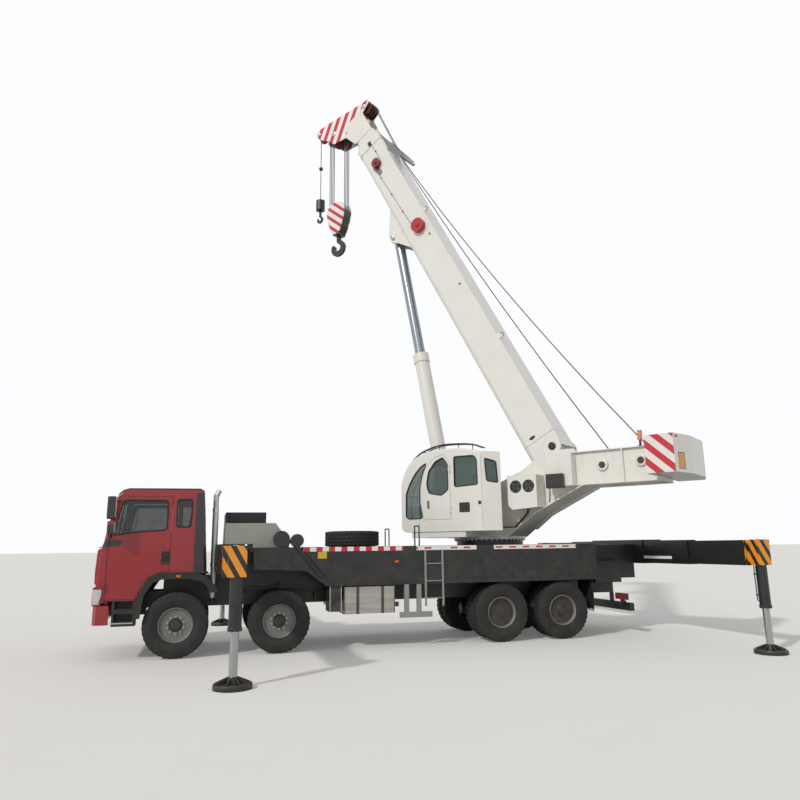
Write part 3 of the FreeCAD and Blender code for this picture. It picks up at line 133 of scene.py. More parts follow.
def reach(a, b):
    # How far a point is from a centre that it is a and b away from
    return (a * a + b * b).maths("SQRT")


def axisOf(group, axis):
    return (group.to_3x3() @ Vector([float(k == axis) for k in "xyz"])).normalized()


class Finish:
    # A material in the making, or a world
    def __init__(self, name, owner=None):
        self.owner = owner or bpy.data.materials.new(name)
        self.owner.use_nodes = True
        self.tree = self.owner.node_tree
        self.tree.nodes.clear()
        self.output = self.tree.nodes.new("ShaderNodeOutputWorld" if owner else "ShaderNodeOutputMaterial")
        self.place = self.node("ShaderNodeTexCoord", out="Object")

    def node(self, kind, settings=None, sockets=None, out=0):
        made = self.tree.nodes.new(kind)
        for key, value in (settings or {}).items():
            setattr(made, key, value)
        for key, value in (sockets or {}).items():
            if isinstance(value, Value):
                self.tree.links.new(value.socket, made.inputs[key])
            else:
                made.inputs[key].default_value = value
        return Value(self, made.outputs[out])

    def dot(self, vector, direction):
        return self.node("ShaderNodeVectorMath", {"operation": "DOT_PRODUCT"}, {0: vector, 1: direction},
                         "Value")

    def along(self, group, axis):
        # Where a point lies along one axis of a group's frame
        direction = axisOf(group, axis)
        return self.dot(self.place, direction) - group.translation.dot(direction)

    def axes(self, group):
        return [self.along(group, axis) for axis in "xyz"]

    def halved(self, group):
        # The same with the distance from the middle plane in place of y
        x, y, z = self.axes(group)
        return x, abs(y), z

    def facing(self, group, axis):
        # How squarely a surface looks along one axis of a group's frame
        normal = self.node("ShaderNodeNewGeometry", out="Normal")
        normal = self.node("ShaderNodeVectorTransform",
                           {"vector_type": "NORMAL", "convert_from": "WORLD", "convert_to": "OBJECT"},
                           {0: normal})
        return self.dot(normal, axisOf(group, axis))

    def noise(self, scale, detail=4.0, stretch=None, rough=0.55):
        place = self.place
        if stretch:
            place = self.node("ShaderNodeVectorMath", {"operation": "MULTIPLY"}, {0: place, 1: stretch})
        return self.node("ShaderNodeTexNoise", {},
                         {"Vector": place, "Scale": scale, "Detail": detail, "Roughness": rough})

    def mix(self, share, first, second, kind="MIX"):
        return self.node("ShaderNodeMix", {"data_type": "RGBA", "blend_type": kind},
                         {0: share, 6: first, 7: second}, 2)

    def bump(self, height, distance, strength=1.0, normal=None):
        sockets = {"Height": height, "Distance": distance, "Strength": strength}
        if normal:
            sockets["Normal"] = normal
        return self.node("ShaderNodeBump", {}, sockets)

    def rounded(self, radius):
        return self.node("ShaderNodeBevel", {"samples": 4}, {"Radius": radius})

    def shader(self, sockets):
        return self.node("ShaderNodeBsdfPrincipled", {}, sockets)

    def blendShaders(self, share, first, second):
        return self.node("ShaderNodeMixShader", {}, {0: share, 1: first, 2: second})

    def done(self, surface):
        self.tree.links.new(surface.socket, self.output.inputs["Surface"])
        return self.owner


# Colours as the photo shows them
screenColours = {
    "red": (150, 18, 28), "white": (228, 226, 218), "black": (21, 23, 26), "dust": (150, 136, 112),
    "grime": (60, 54, 46), "stripeRed": (196, 22, 48), "stripeWhite": (236, 235, 230),
    "amber": (232, 150, 28), "rubber": (28, 28, 29), "plastic": (24, 25, 28), "rim": (118, 120, 119),
    "ladder": (146, 148, 148), "alu": (190, 187, 180), "chrome": (176, 178, 180), "steel": (88, 86, 82),
    "plate": (122, 123, 118), "reel": (176, 30, 40), "darkReel": (120, 34, 38), "orange": (224, 92, 24),
    "yellowPlate": (206, 176, 40), "orangePlate": (214, 150, 34), "greyTrim": (96, 98, 100),
    "lining": (120, 118, 112), "seat": (48, 50, 54), "grease": (34, 30, 26), "lampRed": (150, 16, 16),
    "glassGreen": (74, 104, 96), "glassDark": (30, 38, 40), "silver": (198, 200, 200),
    "ropeGrey": (62, 66, 70),
}
palette = {name: fromBytes(*colour) for name, colour in screenColours.items()}


def weathered(f, colour, dust=0.3, low=0.2, high=2.2, variation=0.06, streaks=0.1):
    # Paint that has stood outside: faint patches, dust that thins out upwards, streaks that run down
    patches = f.noise(1.7, 5.0)
    shade = f.mix(patches.ramp(0.3, 0.7, 0.0, variation), colour, palette["grime"])
    height = f.along(truckFrame, "z")
    settled = height.ramp(low, high, 1.0, 0.25) * f.noise(6.0, 6.0).ramp(0.35, 0.75) * dust
    shade = f.mix(settled, shade, palette["dust"])
    runs = f.noise(9.0, 3.0, (1, 1, 0.08)).ramp(0.58, 0.8) * streaks
    return f.mix(runs, shade, palette["grime"]), settled


def painted(name, colour, rough=0.34, dust=0.3, high=2.2, coat=0.25, variation=0.06, streaks=0.1,
            radius=0.006, paint=None, metallic=0.0, height=None, depth=0.002):
    # paint takes the finish and the clean colour and returns the colour with what is painted on it
    f = Finish(name)
    clean = paint(f, colour) if paint else colour
    shade, settled = weathered(f, clean, dust, 0.2, high, variation, streaks)
    grain = f.noise(60.0, 3.0)
    normal = f.bump(grain, 0.0006, 0.5, f.rounded(radius))
    if height:
        normal = f.bump(height(f), depth, 1.0, normal)
    roughness = grain.ramp(0.3, 0.7, rough - 0.05, rough + 0.07) + settled * 0.5
    return f.done(f.shader({"Base Color": shade, "Roughness": roughness, "Metallic": metallic,
                            "Coat Weight": coat, "Coat Roughness": 0.18, "Normal": normal}))


def dress(material, *names):
    for name in names:
        slots = nodes[name].data.materials
        for k in range(len(slots)):
            slots[k] = material
        if len(slots) == 0:
            slots.append(material)


# Mesh helpers: each one called add puts a closed form into a bmesh, in its group's frame
def addBlock(bm, x, y, z):
    spans = [sorted(span) for span in (x, y, z)]
    for v in bmesh.ops.create_cube(bm, size=1.0)["verts"]:
        v.co = Vector([low + (c + 0.5) * (high - low) for c, (low, high) in zip(v.co, spans)])


def addLathe(bm, start, direction, profile, sides=24, turn=0.0):
    # profile lists (along, radius) from start to end; a radius of 0 closes it in a point
    axis = Vector(direction).normalized()
    across = axis.orthogonal().normalized()
    other = axis.cross(across)
    rings = []
    for along, radius in profile:
        centre = Vector(start) + axis * along
        if radius < 1e-6:
            rings.append([bm.verts.new(centre)])
        else:
            rings.append([bm.verts.new(centre
                                       + (across * math.cos(2 * math.pi * k / sides + turn) + other
                                          * math.sin(2 * math.pi * k / sides + turn)) * radius)
                          for k in range(sides)])
    for a, b in zip(rings, rings[1:]):
        for k in range(sides):
            quad = [a[k % len(a)], a[(k + 1) % len(a)], b[(k + 1) % len(b)], b[k % len(b)]]
            unique = []
            for v in quad:
                if v not in unique:
                    unique.append(v)
            if len(unique) > 2:
                bm.faces.new(unique)
    for ring in (rings[0], rings[-1]):
        if len(ring) > 1:
            bm.faces.new(ring)


def around(count, radius, turn=0.0):
    # Points evenly round a circle
    angles = [2 * math.pi * k / count + turn for k in range(count)]
    return [(radius * math.cos(angle), radius * math.sin(angle)) for angle in angles]


def addRing(bm, centre, radius, count, direction, profile, sides=6, turn=0.0):
    # Small turned forms in a ring round a centre; their direction is along Y or Z
    for p, q in around(count, radius, turn):
        addLathe(bm, Vector(centre) + Vector((p, 0, q) if direction[1] else (p, q, 0)), direction, profile,
                 sides)


def addRod(bm, a, b, radius, sides=16, second=None):
    a, b = Vector(a), Vector(b)
    addLathe(bm, a, b - a, [(0, radius), ((b - a).length, second if second is not None else radius)], sides)


def addPrism(bm, outline, axis, low, high):
    # outline is in the plane across the axis
    def spot(p, q, w):
        return {"x": (w, p, q), "y": (p, w, q), "z": (p, q, w)}[axis]
    first = [bm.verts.new(spot(p, q, low)) for p, q in outline]
    second = [bm.verts.new(spot(p, q, high)) for p, q in outline]
    bm.faces.new(first)
    bm.faces.new(second)
    for k in range(len(outline)):
        j = (k + 1) % len(outline)
        bm.faces.new([first[k], first[j], second[j], second[k]])
    return first + second


def smoothLine(points, steps=6, closed=False):
    pts = [Vector(p) for p in points]
    count = len(pts)
    line = []
    for k in range(count if closed else count - 1):
        if closed:
            p0, p1, p2, p3 = (pts[(k + j) % count] for j in (-1, 0, 1, 2))
        else:
            p1, p2 = pts[k], pts[k + 1]
            p0 = pts[k - 1] if k else p1 + (p1 - p2)
            p3 = pts[k + 2] if k + 2 < count else p2 + (p2 - p1)
        for j in range(steps):
            t = j / steps
            line.append(0.5 * ((2 * p1) + (p2 - p0) * t + (2 * p0 - 5 * p1 + 4 * p2 - p3) * t * t
                               + (3 * p1 - p0 - 3 * p2 + p3) * t ** 3))
    if not closed:
        line.append(pts[-1])
    return line


def roundedOutline(outline, radius, steps=4):
    # Corners of a flat outline are cut to arcs
    result = []
    count = len(outline)
    for k in range(count):
        before, corner, after = (Vector(outline[(k + j) % count]) for j in (-1, 0, 1))
        r = min(radius, (before - corner).length * 0.45, (after - corner).length * 0.45)
        start = corner + (before - corner).normalized() * r
        end = corner + (after - corner).normalized() * r
        for j in range(steps + 1):
            t = j / steps
            result.append(tuple(start * (1 - t) ** 2 + corner * 2 * t * (1 - t) + end * t * t))
    return result


def addTube(bm, line, radius, sides=8, closed=False, flat=1.0):
    line = [Vector(p) for p in line]
    count = len(line)
    rings = []
    normal = None
    for k, p in enumerate(line):
        if closed:
            tangent = (line[(k + 1) % count] - line[k - 1]).normalized()
        else:
            tangent = (line[min(k + 1, count - 1)] - line[max(k - 1, 0)]).normalized()
        if normal is None:
            normal = tangent.orthogonal().normalized()
        normal = (normal - tangent * normal.dot(tangent)).normalized()
        side = tangent.cross(normal)
        rings.append([bm.verts.new(p
                                   + (normal * math.cos(2 * math.pi * j / sides) * flat + side
                                      * math.sin(2 * math.pi * j / sides)) * radius) for j in range(sides)])
    spans = list(zip(rings, rings[1:] + (rings[:1] if closed else [])))
    for a, b in spans:
        for j in range(sides):
            bm.faces.new([a[j], a[(j + 1) % sides], b[(j + 1) % sides], b[j]])
    if not closed:
        bm.faces.new(rings[0])
        bm.faces.new(rings[-1])


def piece(name, bm, material, body, group=None, slot=None, bevel=0.0, angle=35.0):
    if group is not None:
        bm.transform(group)
    bmesh.ops.recalc_face_normals(bm, faces=bm.faces)
    for edge in bm.edges:
        if len(edge.link_faces) == 2 and edge.calc_face_angle(0) > math.radians(angle):
            edge.smooth = False
    for face in bm.faces:
        face.smooth = True
    data = bpy.data.meshes.new(name)
    bm.to_mesh(data)
    bm.free()
    for m in (material if isinstance(material, list) else [material]):
        data.materials.append(m)
    made = bpy.data.objects.new(name, data)
    bpy.context.scene.collection.objects.link(made)
    if bevel:
        soften = made.modifiers.new("soften", "BEVEL")
        soften.width, soften.segments, soften.limit_method = bevel, 2, "ANGLE"
        soften.angle_limit = math.radians(angle)
        soften.harden_normals = False
    if body:
        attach(made, body)
    return made


def onTruck(name, bm, material, slot, bevel=0.0):
    return piece(name, bm, material, "carrier", truckFrame, slot, bevel)


def onUpper(name, bm, material, slot, bevel=0.0, **more):
    return piece(name, bm, material, "turntable", upperFrame, slot, bevel, **more)


def onBoom(name, bm, material, slot, bevel=0.0):
    return piece(name, bm, material, "boom_base", boomFrame, slot, bevel)


# The camera's place in the truck's frame, its turn in degrees and its focus in pixels of the frame
view = {
    "spot": (-0.507, 14.142, 1.872), "yaw": 15.553, "pitch": 12.149, "roll": -0.7005, "focus": 677.18,
    "frame": 800, "sensor": 36, "farthest": 400,
}


def placeCamera():
    yaw, pitch, roll = (math.radians(view[k]) for k in ("yaw", "pitch", "roll"))
    ahead = Vector((-math.sin(yaw) * math.cos(pitch), -math.cos(yaw) * math.cos(pitch), math.sin(pitch)))
    right = Vector((-math.cos(yaw), math.sin(yaw), 0))
    up = right.cross(ahead)
    side = right * math.cos(roll) + up * math.sin(roll)
    top = up * math.cos(roll) - right * math.sin(roll)
    data = bpy.data.cameras.new("camera")
    data.sensor_width = view["sensor"]
    data.lens = view["focus"] / view["frame"] * view["sensor"]
    data.clip_end = view["farthest"]
    camera = bpy.data.objects.new("camera", data)
    camera.matrix_world = Matrix.Translation(truckFrame @ Vector(view["spot"])) @ Matrix(
        ((side.x, top.x, -ahead.x, 0), (side.y, top.y, -ahead.y, 0), (side.z, top.z, -ahead.z, 0),
         (0, 0, 0, 1)))
    bpy.context.scene.collection.objects.link(camera)
    bpy.context.scene.camera = camera


placeCamera()

studio = {
    "sky": 0.5, "sun": 1.75, "sunSoft": 3.0, "sunFrom": (0.74, 0.52, 0.62),
    "floor": fromBytes(226, 224, 219), "floorPatches": fromBytes(206, 200, 190), "floorLift": 0.10,
    "floorSize": 900.0, "sunColour": (1.0, 0.985, 0.96), "backdrop": (0.97, 0.98, 1.0, 1),
}


def placeStudio():
    scene = bpy.context.scene
    scene.view_settings.view_transform = "Standard"
    world = Finish("studio", bpy.data.worlds.new("studio"))
    seen = [world.node("ShaderNodeLightPath", out="Is %s Ray" % kind)
            for kind in ("Camera", "Glossy", "Transmission")]
    level = seen[0].orElse(seen[1]).orElse(seen[2]).ramp(0.0, 1.0, studio["sky"], 1.0)
    scene.world = world.done(world.node("ShaderNodeBackground", {},
                                        {"Color": studio["backdrop"], "Strength": level}))
    lamp = bpy.data.lights.new("sun", "SUN")
    lamp.energy = studio["sun"]
    lamp.angle = math.radians(studio["sunSoft"])
    lamp.color = studio["sunColour"]
    sun = bpy.data.objects.new("sun", lamp)
    sun.rotation_euler = Vector(studio["sunFrom"]).to_track_quat("Z", "Y").to_euler()
    scene.collection.objects.link(sun)
    f = Finish("studioFloor")
    pale = f.mix(f.noise(0.6, 4.0).ramp(0.3, 0.7, 0.0, 0.06), studio["floor"], studio["floorPatches"])
    seen = f.node("ShaderNodeLightPath", out="Is Camera Ray")
    lift = f.mix(seen, (0, 0, 0, 1), (studio["floorLift"],) * 3 + (1,))
    material = f.done(f.shader({"Base Color": pale, "Roughness": 0.9, "Specular IOR Level": 0.1,
                                "Emission Color": lift, "Emission Strength": 1.0}))
    bm = bmesh.new()
    bmesh.ops.create_grid(bm, x_segments=8, y_segments=8, size=studio["floorSize"])
    piece("floor", bm, material, None)


placeStudio()
print("camera, floor and lamps placed")

# Finishes of the CAD nodes: what is painted on each is placed in the crane's own frames
endBox = {
    "pitch": 0.179, "share": 0.56, "start": 1.801, "slope": 0.58, "low": 1.46, "inward": 0.122,
    "outward": 0.2, "stripX": -8.0, "stripY": (0.8, 1.95), "stripZ": (1.545, 1.6),
}
chassisBlack = painted("chassisBlack", palette["black"], 0.42, 0.1, coat=0.15)
greasySteel = painted("greasySteel", palette["grease"], 0.5, 0.2, coat=0.0, variation=0.3, metallic=0.3)
darkPlastic = painted("darkPlastic", palette["plastic"], 0.55, 0.1, coat=0.0, radius=0.004)


def treadBars(a, b, pitch):
    # Short raised bars that cross each other in turn
    up, down = (a + b) / pitch, (a - b) / pitch
    first = up.maths("FRACT").within(0.3, 0.7) * (down * 2).maths("FRACT").within(0.32, 0.6)
    second = (up * 2).maths("FRACT").within(0.32, 0.6) * (down + 0.5).maths("FRACT").within(0.3, 0.7)
    return first.orElse(second)


def gratingHeight(f):
    x, y = f.axes(truckFrame)[:2]
    return treadBars(x, y, 0.07) * f.facing(truckFrame, "z").above(0.7)


def endBoxPaint(f, colour):
    # Yellow and black bands on the outer face and the front and rear faces of the end box
    x, y, z = f.halved(truckFrame)
    e, jack = endBox, crane["jackAcross"]
    outward = abs(f.facing(truckFrame, "x")).above(0.5)
    run = outward * y + (1 - outward) * (x * -1)
    band = (run + z * e["slope"]).bands(e["pitch"], e["share"], e["start"])
    upright = abs(f.facing(truckFrame, "z")).below(0.5)
    inside = y.within(jack - e["inward"], jack + e["outward"]) * z.above(e["low"]) * upright
    strip = x.below(e["stripX"]) * y.within(*e["stripY"]) * z.within(*e["stripZ"])
    strip = strip * f.facing(truckFrame, "x").above(0.5)
    return f.mix(strip, f.mix(inside * band, colour, palette["amber"]), palette["stripeWhite"])


outriggerBeams = painted("outriggerBeams", palette["black"], 0.36, 0.06, coat=0.2, paint=endBoxPaint)


def makeJackFinish():
    f = Finish("jackRodAndFoot")
    z = f.along(truckFrame, "z")
    rod = z.above(0.072)
    foot, settled = weathered(f, palette["black"], 0.12, 0.0, 0.3)
    metal = f.mix(f.noise(20.0, 3.0, (1, 1, 0.05)).ramp(0.4, 0.65), palette["chrome"], palette["silver"])
    ribs = f.bump(f.noise(60.0, 2.0), 0.001, 0.3, f.rounded(0.004))
    return f.done(f.shader({"Base Color": f.mix(rod, foot, metal), "Metallic": rod,
                            "Roughness": 0.5 - rod * 0.3 + settled * 0.2, "Normal": ribs}))


jackFinish = makeJackFinish()
for name in nodes:
    if name.startswith("outrigger"):
        dress(jackFinish if name.endswith("foot") else outriggerBeams, name)
dress(chassisBlack, "carrier_frame")
dress(greasySteel, "axles", *[n for n in nodes if n.startswith("knuckle")])
dress(painted("deckBlack", palette["black"], 0.45, 0.16, height=gratingHeight, coat=0.1, high=2.4), "deck")


# The signal boards on the deck's side: their blocks, dashes, plate and marker
boards = {
    "face": 1.2495, "z": (1.78, 1.868), "dashZ": (1.808, 1.842), "red": (-4.131, -2.199),
    "redBands": (0.2365, 0.5, 2.32), "middle": (-5.642, -4.388), "middleBands": (0.27, 0.54, 4.552),
    "gap": (-5.0, -4.8), "rear": (-7.842, -6.008), "rearBands": (0.296, 0.508, 6.046),
    "plateX": (-2.642, -2.468), "plateY": (1.249, 1.2535), "plateZ": (1.65, 1.8), "markerFace": 1.254,
    "markerX": (-4.03, -3.94), "markerZ": (1.559, 1.601),
}


def deckFittingsPaint(f, colour):
    x, y, z = f.halved(truckFrame)
    b, red, white = boards, palette["stripeRed"], palette["stripeWhite"]
    board = y.above(b["face"]) * z.within(*b["z"])
    dash = z.within(*b["dashZ"])
    shade = f.mix(board * x.within(*b["red"]), colour, f.mix((x * -1).bands(*b["redBands"]), red, white))
    dashes = dash * (x * -1).bands(*b["middleBands"]) * (1 - x.within(*b["gap"]))
    shade = f.mix(board * x.within(*b["middle"]), shade, f.mix(dashes, white, red))
    shade = f.mix(board * x.within(*b["rear"]), shade,
                  f.mix(dash * (x * -1).bands(*b["rearBands"]), white, red))
    plate = x.within(*b["plateX"]) * y.within(*b["plateY"]) * z.within(*b["plateZ"])
    marker = y.above(b["markerFace"]) * x.within(*b["markerX"]) * z.within(*b["markerZ"])
    return f.mix(marker, f.mix(plate, shade, palette["yellowPlate"]), palette["orange"])


dress(painted("deckFittings", palette["black"], 0.4, 0.06, paint=deckFittingsPaint, radius=0.003),
      "deck_fittings")


def insideCab(f):
    x, y, z = f.halved(truckFrame)
    front = 1.322 - (z - 1.0) * 0.06 - (z - 1.975).maths("MAXIMUM", 0.0) * 0.16
    return y.below(1.1575) * z.within(1.02,
                                      2.915) * x.below(front - 0.012) * (x + (2.895 - z)
            * 0.062).above(-0.37)


def cornerWedge(x, z):
    # Black trim from the windscreen's foot back over the front of the door
    return z.within(1.915, 2.03) * x.above(0.97) * (z - 1.915 - (1.02 - x) * 0.6).above(0.0)


def cabPaint(f, colour):
    x, y, z = f.halved(truckFrame)
    behind = x.below(-0.25) * z.below(2.86)
    screen = y.below(1.17) * z.within(1.87, 2.03) * x.above(1.2)
    shade = f.mix(behind.orElse(screen).orElse(cornerWedge(x, z)), colour, palette["plastic"])
    return f.mix(insideCab(f), shade, palette["lining"])


redShell = painted("cabRed", palette["red"], 0.28, 0.08, coat=0.5, paint=cabPaint, radius=0.012,
                   streaks=0.05)
dress(redShell, "cab_shell")


def glassShader(f, colour, alpha=0.42, rough=0.05):
    grime = f.noise(4.0, 5.0).ramp(0.45, 0.8, 0.0, 0.12)
    return f.shader({"Base Color": f.mix(grime, colour, palette["dust"]), "Roughness": rough,
                     "Alpha": grime + alpha, "Specular IOR Level": 0.9})


def cabDoorFinish():
    f = Finish("cabDoorAndMirrors")
    x, y, z = f.halved(truckFrame)
    mirror = y.above(1.222) * x.above(0.98)
    recess = y.above(1.17) * x.within(0.155, 0.297) * z.within(1.595, 1.83)
    black = mirror.orElse(recess).orElse(y.below(1.2) * z.below(1.0)).orElse(cornerWedge(x, z)
            * y.above(1.19))
    cap = mirror * z.within(2.29, 2.37)
    lining = y.below(1.19)
    shade = f.mix(lining, palette["red"], palette["lining"])
    shade = f.mix(cap, f.mix(black, shade, palette["plastic"]), palette["red"])
    shade, settled = weathered(f, shade, 0.07, 0.2, 2.2, 0.06, 0.05)
    silvered = mirror * f.facing(truckFrame, "x").below(-0.7) * z.above(2.1)
    normal = f.bump(f.noise(60.0, 3.0), 0.0006, 0.5, f.rounded(0.008))
    rough = 0.3 + black * 0.25 - silvered * 0.26 + settled * 0.3
    paint = f.shader({"Base Color": f.mix(silvered, shade, palette["silver"]), "Roughness": rough,
                      "Coat Weight": 0.4, "Metallic": silvered, "Normal": normal})
    pane = abs(y - 1.1775).below(0.0036) * z.within(2.12, 2.76) * x.within(0.2, 1.13)
    return f.done(f.blendShaders(pane, paint, glassShader(f, palette["glassDark"], 0.5)))


dress(cabDoorFinish(), "cab_door_left", "cab_door_right")


def glass(name, colour, alpha):
    f = Finish(name)
    return f.done(glassShader(f, colour, alpha))


cabGlass = glass("cabGlass", palette["glassDark"], 0.5)
dress(cabGlass, "cab_glass")
dress(painted("bumperRed", palette["red"], 0.3, 0.1, coat=0.45, radius=0.012), "bumper")


def frontPaint(f, colour):
    x, y, z = f.halved(truckFrame)
    lamp = z.below(1.27) * y.above(0.6) * x.above(1.1)
    lens = lamp * z.within(0.955, 1.2) * (x - 1.24 + (z - 1.08) * 0.25).above(0.0)
    arch = x.within(-0.2, 0.2) * z.within(1.3, 1.45) * y.above(1.2)
    shade = f.mix(lens, f.mix(lamp, colour, palette["red"]), palette["silver"])
    return f.mix(arch, shade, palette["orange"])


dress(painted("grilleAndLamps", palette["plastic"], 0.35, 0.05, coat=0.3, paint=frontPaint, radius=0.008),
      "grille_and_headlamps")


def stepPaint(f, colour):
    return f.mix(f.facing(truckFrame, "z").above(0.8) * 0.35, colour, palette["greyTrim"])


dress(painted("stepBlack", palette["plastic"], 0.5, 0.12, coat=0.0, paint=stepPaint), "cab_steps")


def stackPaint(f, colour):
    y, z = f.axes(truckFrame)[1:]
    stack = y.above(0.78) * z.above(0.99)
    soot = z.above(2.86) * f.facing(truckFrame, "z").above(0.3)
    return f.mix(soot * stack, f.mix(stack, colour, palette["silver"]), palette["grime"])


dress(painted("engineAndStack", palette["grease"], 0.32, 0.15, coat=0.1, metallic=0.55, paint=stackPaint,
              variation=0.2), "engine_and_exhaust")


def coverPaint(f, colour):
    # The tread plate's raised bars are painted lighter: a painted highlight on the bars
    shade = f.mix(coverHeight(f) * 0.4, colour, palette["stripeWhite"])
    return f.mix(f.along(truckFrame, "z").above(2.3195), shade, palette["plastic"])


def coverHeight(f):
    # Tread plate's raised bars on the cover's faces
    x, y, z = f.axes(truckFrame)
    side = abs(f.facing(truckFrame, "y")).above(0.5)
    return treadBars(x, side * z + (1 - side) * y, 0.06) * z.below(2.325)


dress(painted("coverPlate", fromBytes(150, 150, 142), 0.42, 0.12, coat=0.0, metallic=0.25, paint=coverPaint,
              height=coverHeight, high=3.0), "service_cover")


def tankFinish():
    f = Finish("tankAluminium")
    x, y = f.axes(truckFrame)[:2]
    bright = x.below(-2.975) * y.above(0.72)
    brushed = f.noise(14.0, 3.0, (0.05, 1, 1)).ramp(0.35, 0.65, 0.0, 0.35)
    shade = f.mix(brushed, palette["alu"], palette["steel"])
    shade = f.mix(bright, palette["black"], shade)
    shade, settled = weathered(f, shade, 0.35, 0.2, 2.0)
    return f.done(f.shader({"Base Color": shade, "Metallic": bright * 0.85,
                            "Roughness": 0.34 + settled * 0.4,
                            "Normal": f.bump(brushed, 0.0004, 0.4, f.rounded(0.02))}))


tankMetal = tankFinish()
dress(tankMetal, "tanks")
dress(darkPlastic, "mudguards")


def ladderPaint(f, colour):
    x, y, z = f.halved(truckFrame)
    shade = f.mix(x.below(-8.0), colour, palette["black"])
    lamp = x.within(-9.045, -8.975) * z.within(0.7, 0.84) * y.above(0.77)
    return f.mix(lamp * abs(f.facing(truckFrame, "x")).above(0.5), shade, palette["lampRed"])


dress(painted("ladderAndBar", palette["ladder"], 0.4, 0.2, metallic=0.2, coat=0.1, paint=ladderPaint),
      "ladders_and_underrun_bar")


# Upper structure
def turntablePaint(f, colour):
    x, y, z = f.axes(upperFrame)
    fanZone = y.above(0.74) * z.within(2.89, 3.16)
    for along in crane["fans"]:
        fan = fanZone * reach(x - along, z - crane["fanHeight"]).below(0.1305)
        colour = f.mix(fan * y.below(0.7996), colour, palette["black"])
    for along, height in crane["winches"]:
        seam = reach(x - along, z - height).within(0.112, 0.118)
        colour = f.mix(seam * abs(y).above(0.4), colour, palette["greyTrim"])
    # Downward faces are painted darker in the grime colour: a painted shade on the underside
    undersideShade = f.facing(upperFrame, "z").below(-0.5)
    return f.mix(undersideShade * 0.45, colour, palette["grime"])


dress(painted("upperWhite", palette["white"], 0.32, 0.12, high=3.0, paint=turntablePaint, streaks=0.12),
      "turntable")
stripes = {"pitch": 0.309, "share": 0.485, "slope": 0.95, "start": 6.872}


def counterweightPaint(f, colour):
    x, y, z = f.axes(upperFrame)
    side = abs(f.facing(upperFrame, "y")).above(0.9) * x.within(-4.329, -3.821) * abs(y).above(1.0)
    band = (z - x * stripes["slope"]).bands(stripes["pitch"], stripes["share"], stripes["start"])
    shade = f.mix(side * band, colour, palette["stripeRed"])
    slanted = (y - 1.05) / -0.594
    plate = abs(f.facing(upperFrame, "y")).within(0.1, 0.9) * slanted.within(0.2, 0.58) * z.within(3.14,
            3.44)
    edge = slanted.within(0.222, 0.558) * z.within(3.155, 3.425)
    shade = f.mix(plate, shade, f.mix(edge, palette["grime"], palette["orangePlate"]))
    strip = slanted.within(0.1, 0.27) * z.within(3.70, 3.74) * f.facing(upperFrame,
            "z").below(0.5) * x.below(-4.332)
    shade = f.mix(strip, shade, palette["lampRed"])
    # Downward faces are painted plate grey, a painted shade on the underside
    return f.mix(f.facing(upperFrame, "z").below(-0.5), shade, palette["plate"])


dress(painted("counterweightStriped", palette["white"], 0.36, 0.1, high=3.0, paint=counterweightPaint,
              radius=0.01), "counterweight")


def winchPaint(f, colour):
    x, y, z = f.halved(upperFrame)
    for along, height in crane["winches"]:
        cap = y.above(0.4215) * reach(x - along, z - height).within(0.062, 0.13)
        colour = f.mix(cap, colour, palette["white"])
    return colour


dress(painted("winchSteel", palette["grime"], 0.4, 0.1, coat=0.1, metallic=0.3, paint=winchPaint), "winches")


def upperFittingsPaint(f, colour):
    x, z = f.along(upperFrame, "x"), f.along(upperFrame, "z")
    return f.mix(x.below(-3.5) * z.above(3.784), colour, palette["amber"])


dress(painted("upperFittingsBlack", palette["plastic"], 0.4, 0.05, paint=upperFittingsPaint, radius=0.004),
      "upper_fittings")


def operatorInside(f):
    x, y, z = f.axes(upperFrame)
    slanted = (x + 0.6) * -0.649 + (y - 1.32) * 0.761
    front = x + (z - 2.83) * (z - 2.83).above(0) * 0.52 + (2.4 - z).maths("MAXIMUM", 0.0) * 0.4
    rear = x + 0.56 + (y - 0.44) * 0.556
    room = y.within(0.482, 1.2795) * z.within(2.19, 3.84) * front.below(1.445)
    return room * rear.above(0.03) * slanted.below(-0.041)


def operatorPaint(f, colour):
    x, y, z = f.axes(upperFrame)
    # A small round black spot on the side wall is painted shade where a hole is
    hole = y.above(1.3) * reach(x + 0.545, z - 2.71).below(0.04)
    return f.mix(hole, f.mix(operatorInside(f), colour, palette["lining"]), palette["black"])


dress(painted("operatorWhite", palette["white"], 0.3, 0.06, high=3.0, paint=operatorPaint, radius=0.014,
              streaks=0.04), "operator_cab")
operatorGlass = glass("operatorGlass", palette["glassGreen"], 0.45)
dress(operatorGlass, "operator_cab_glass")


def operatorDoorFinish():
    f = Finish("operatorDoorWhite")
    x, y, z = f.axes(upperFrame)
    handle = y.above(1.3215) * x.within(0.68, 0.72)
    shade = f.mix(y.below(1.29), palette["white"], palette["lining"])
    shade, settled = weathered(f, f.mix(handle, shade, palette["black"]), 0.06, 0.2, 3.0)
    paint = f.shader({"Base Color": shade, "Roughness": 0.3 + settled * 0.4, "Coat Weight": 0.3,
                      "Normal": f.bump(f.noise(60.0, 3.0), 0.0006, 0.5, f.rounded(0.008))})
    pane = abs(y - 1.3).below(0.0036) * z.above(2.9) * x.within(0.19, 0.76)
    return f.done(f.blendShaders(pane, paint, glassShader(f, palette["glassGreen"], 0.36)))


dress(operatorDoorFinish(), "operator_door")


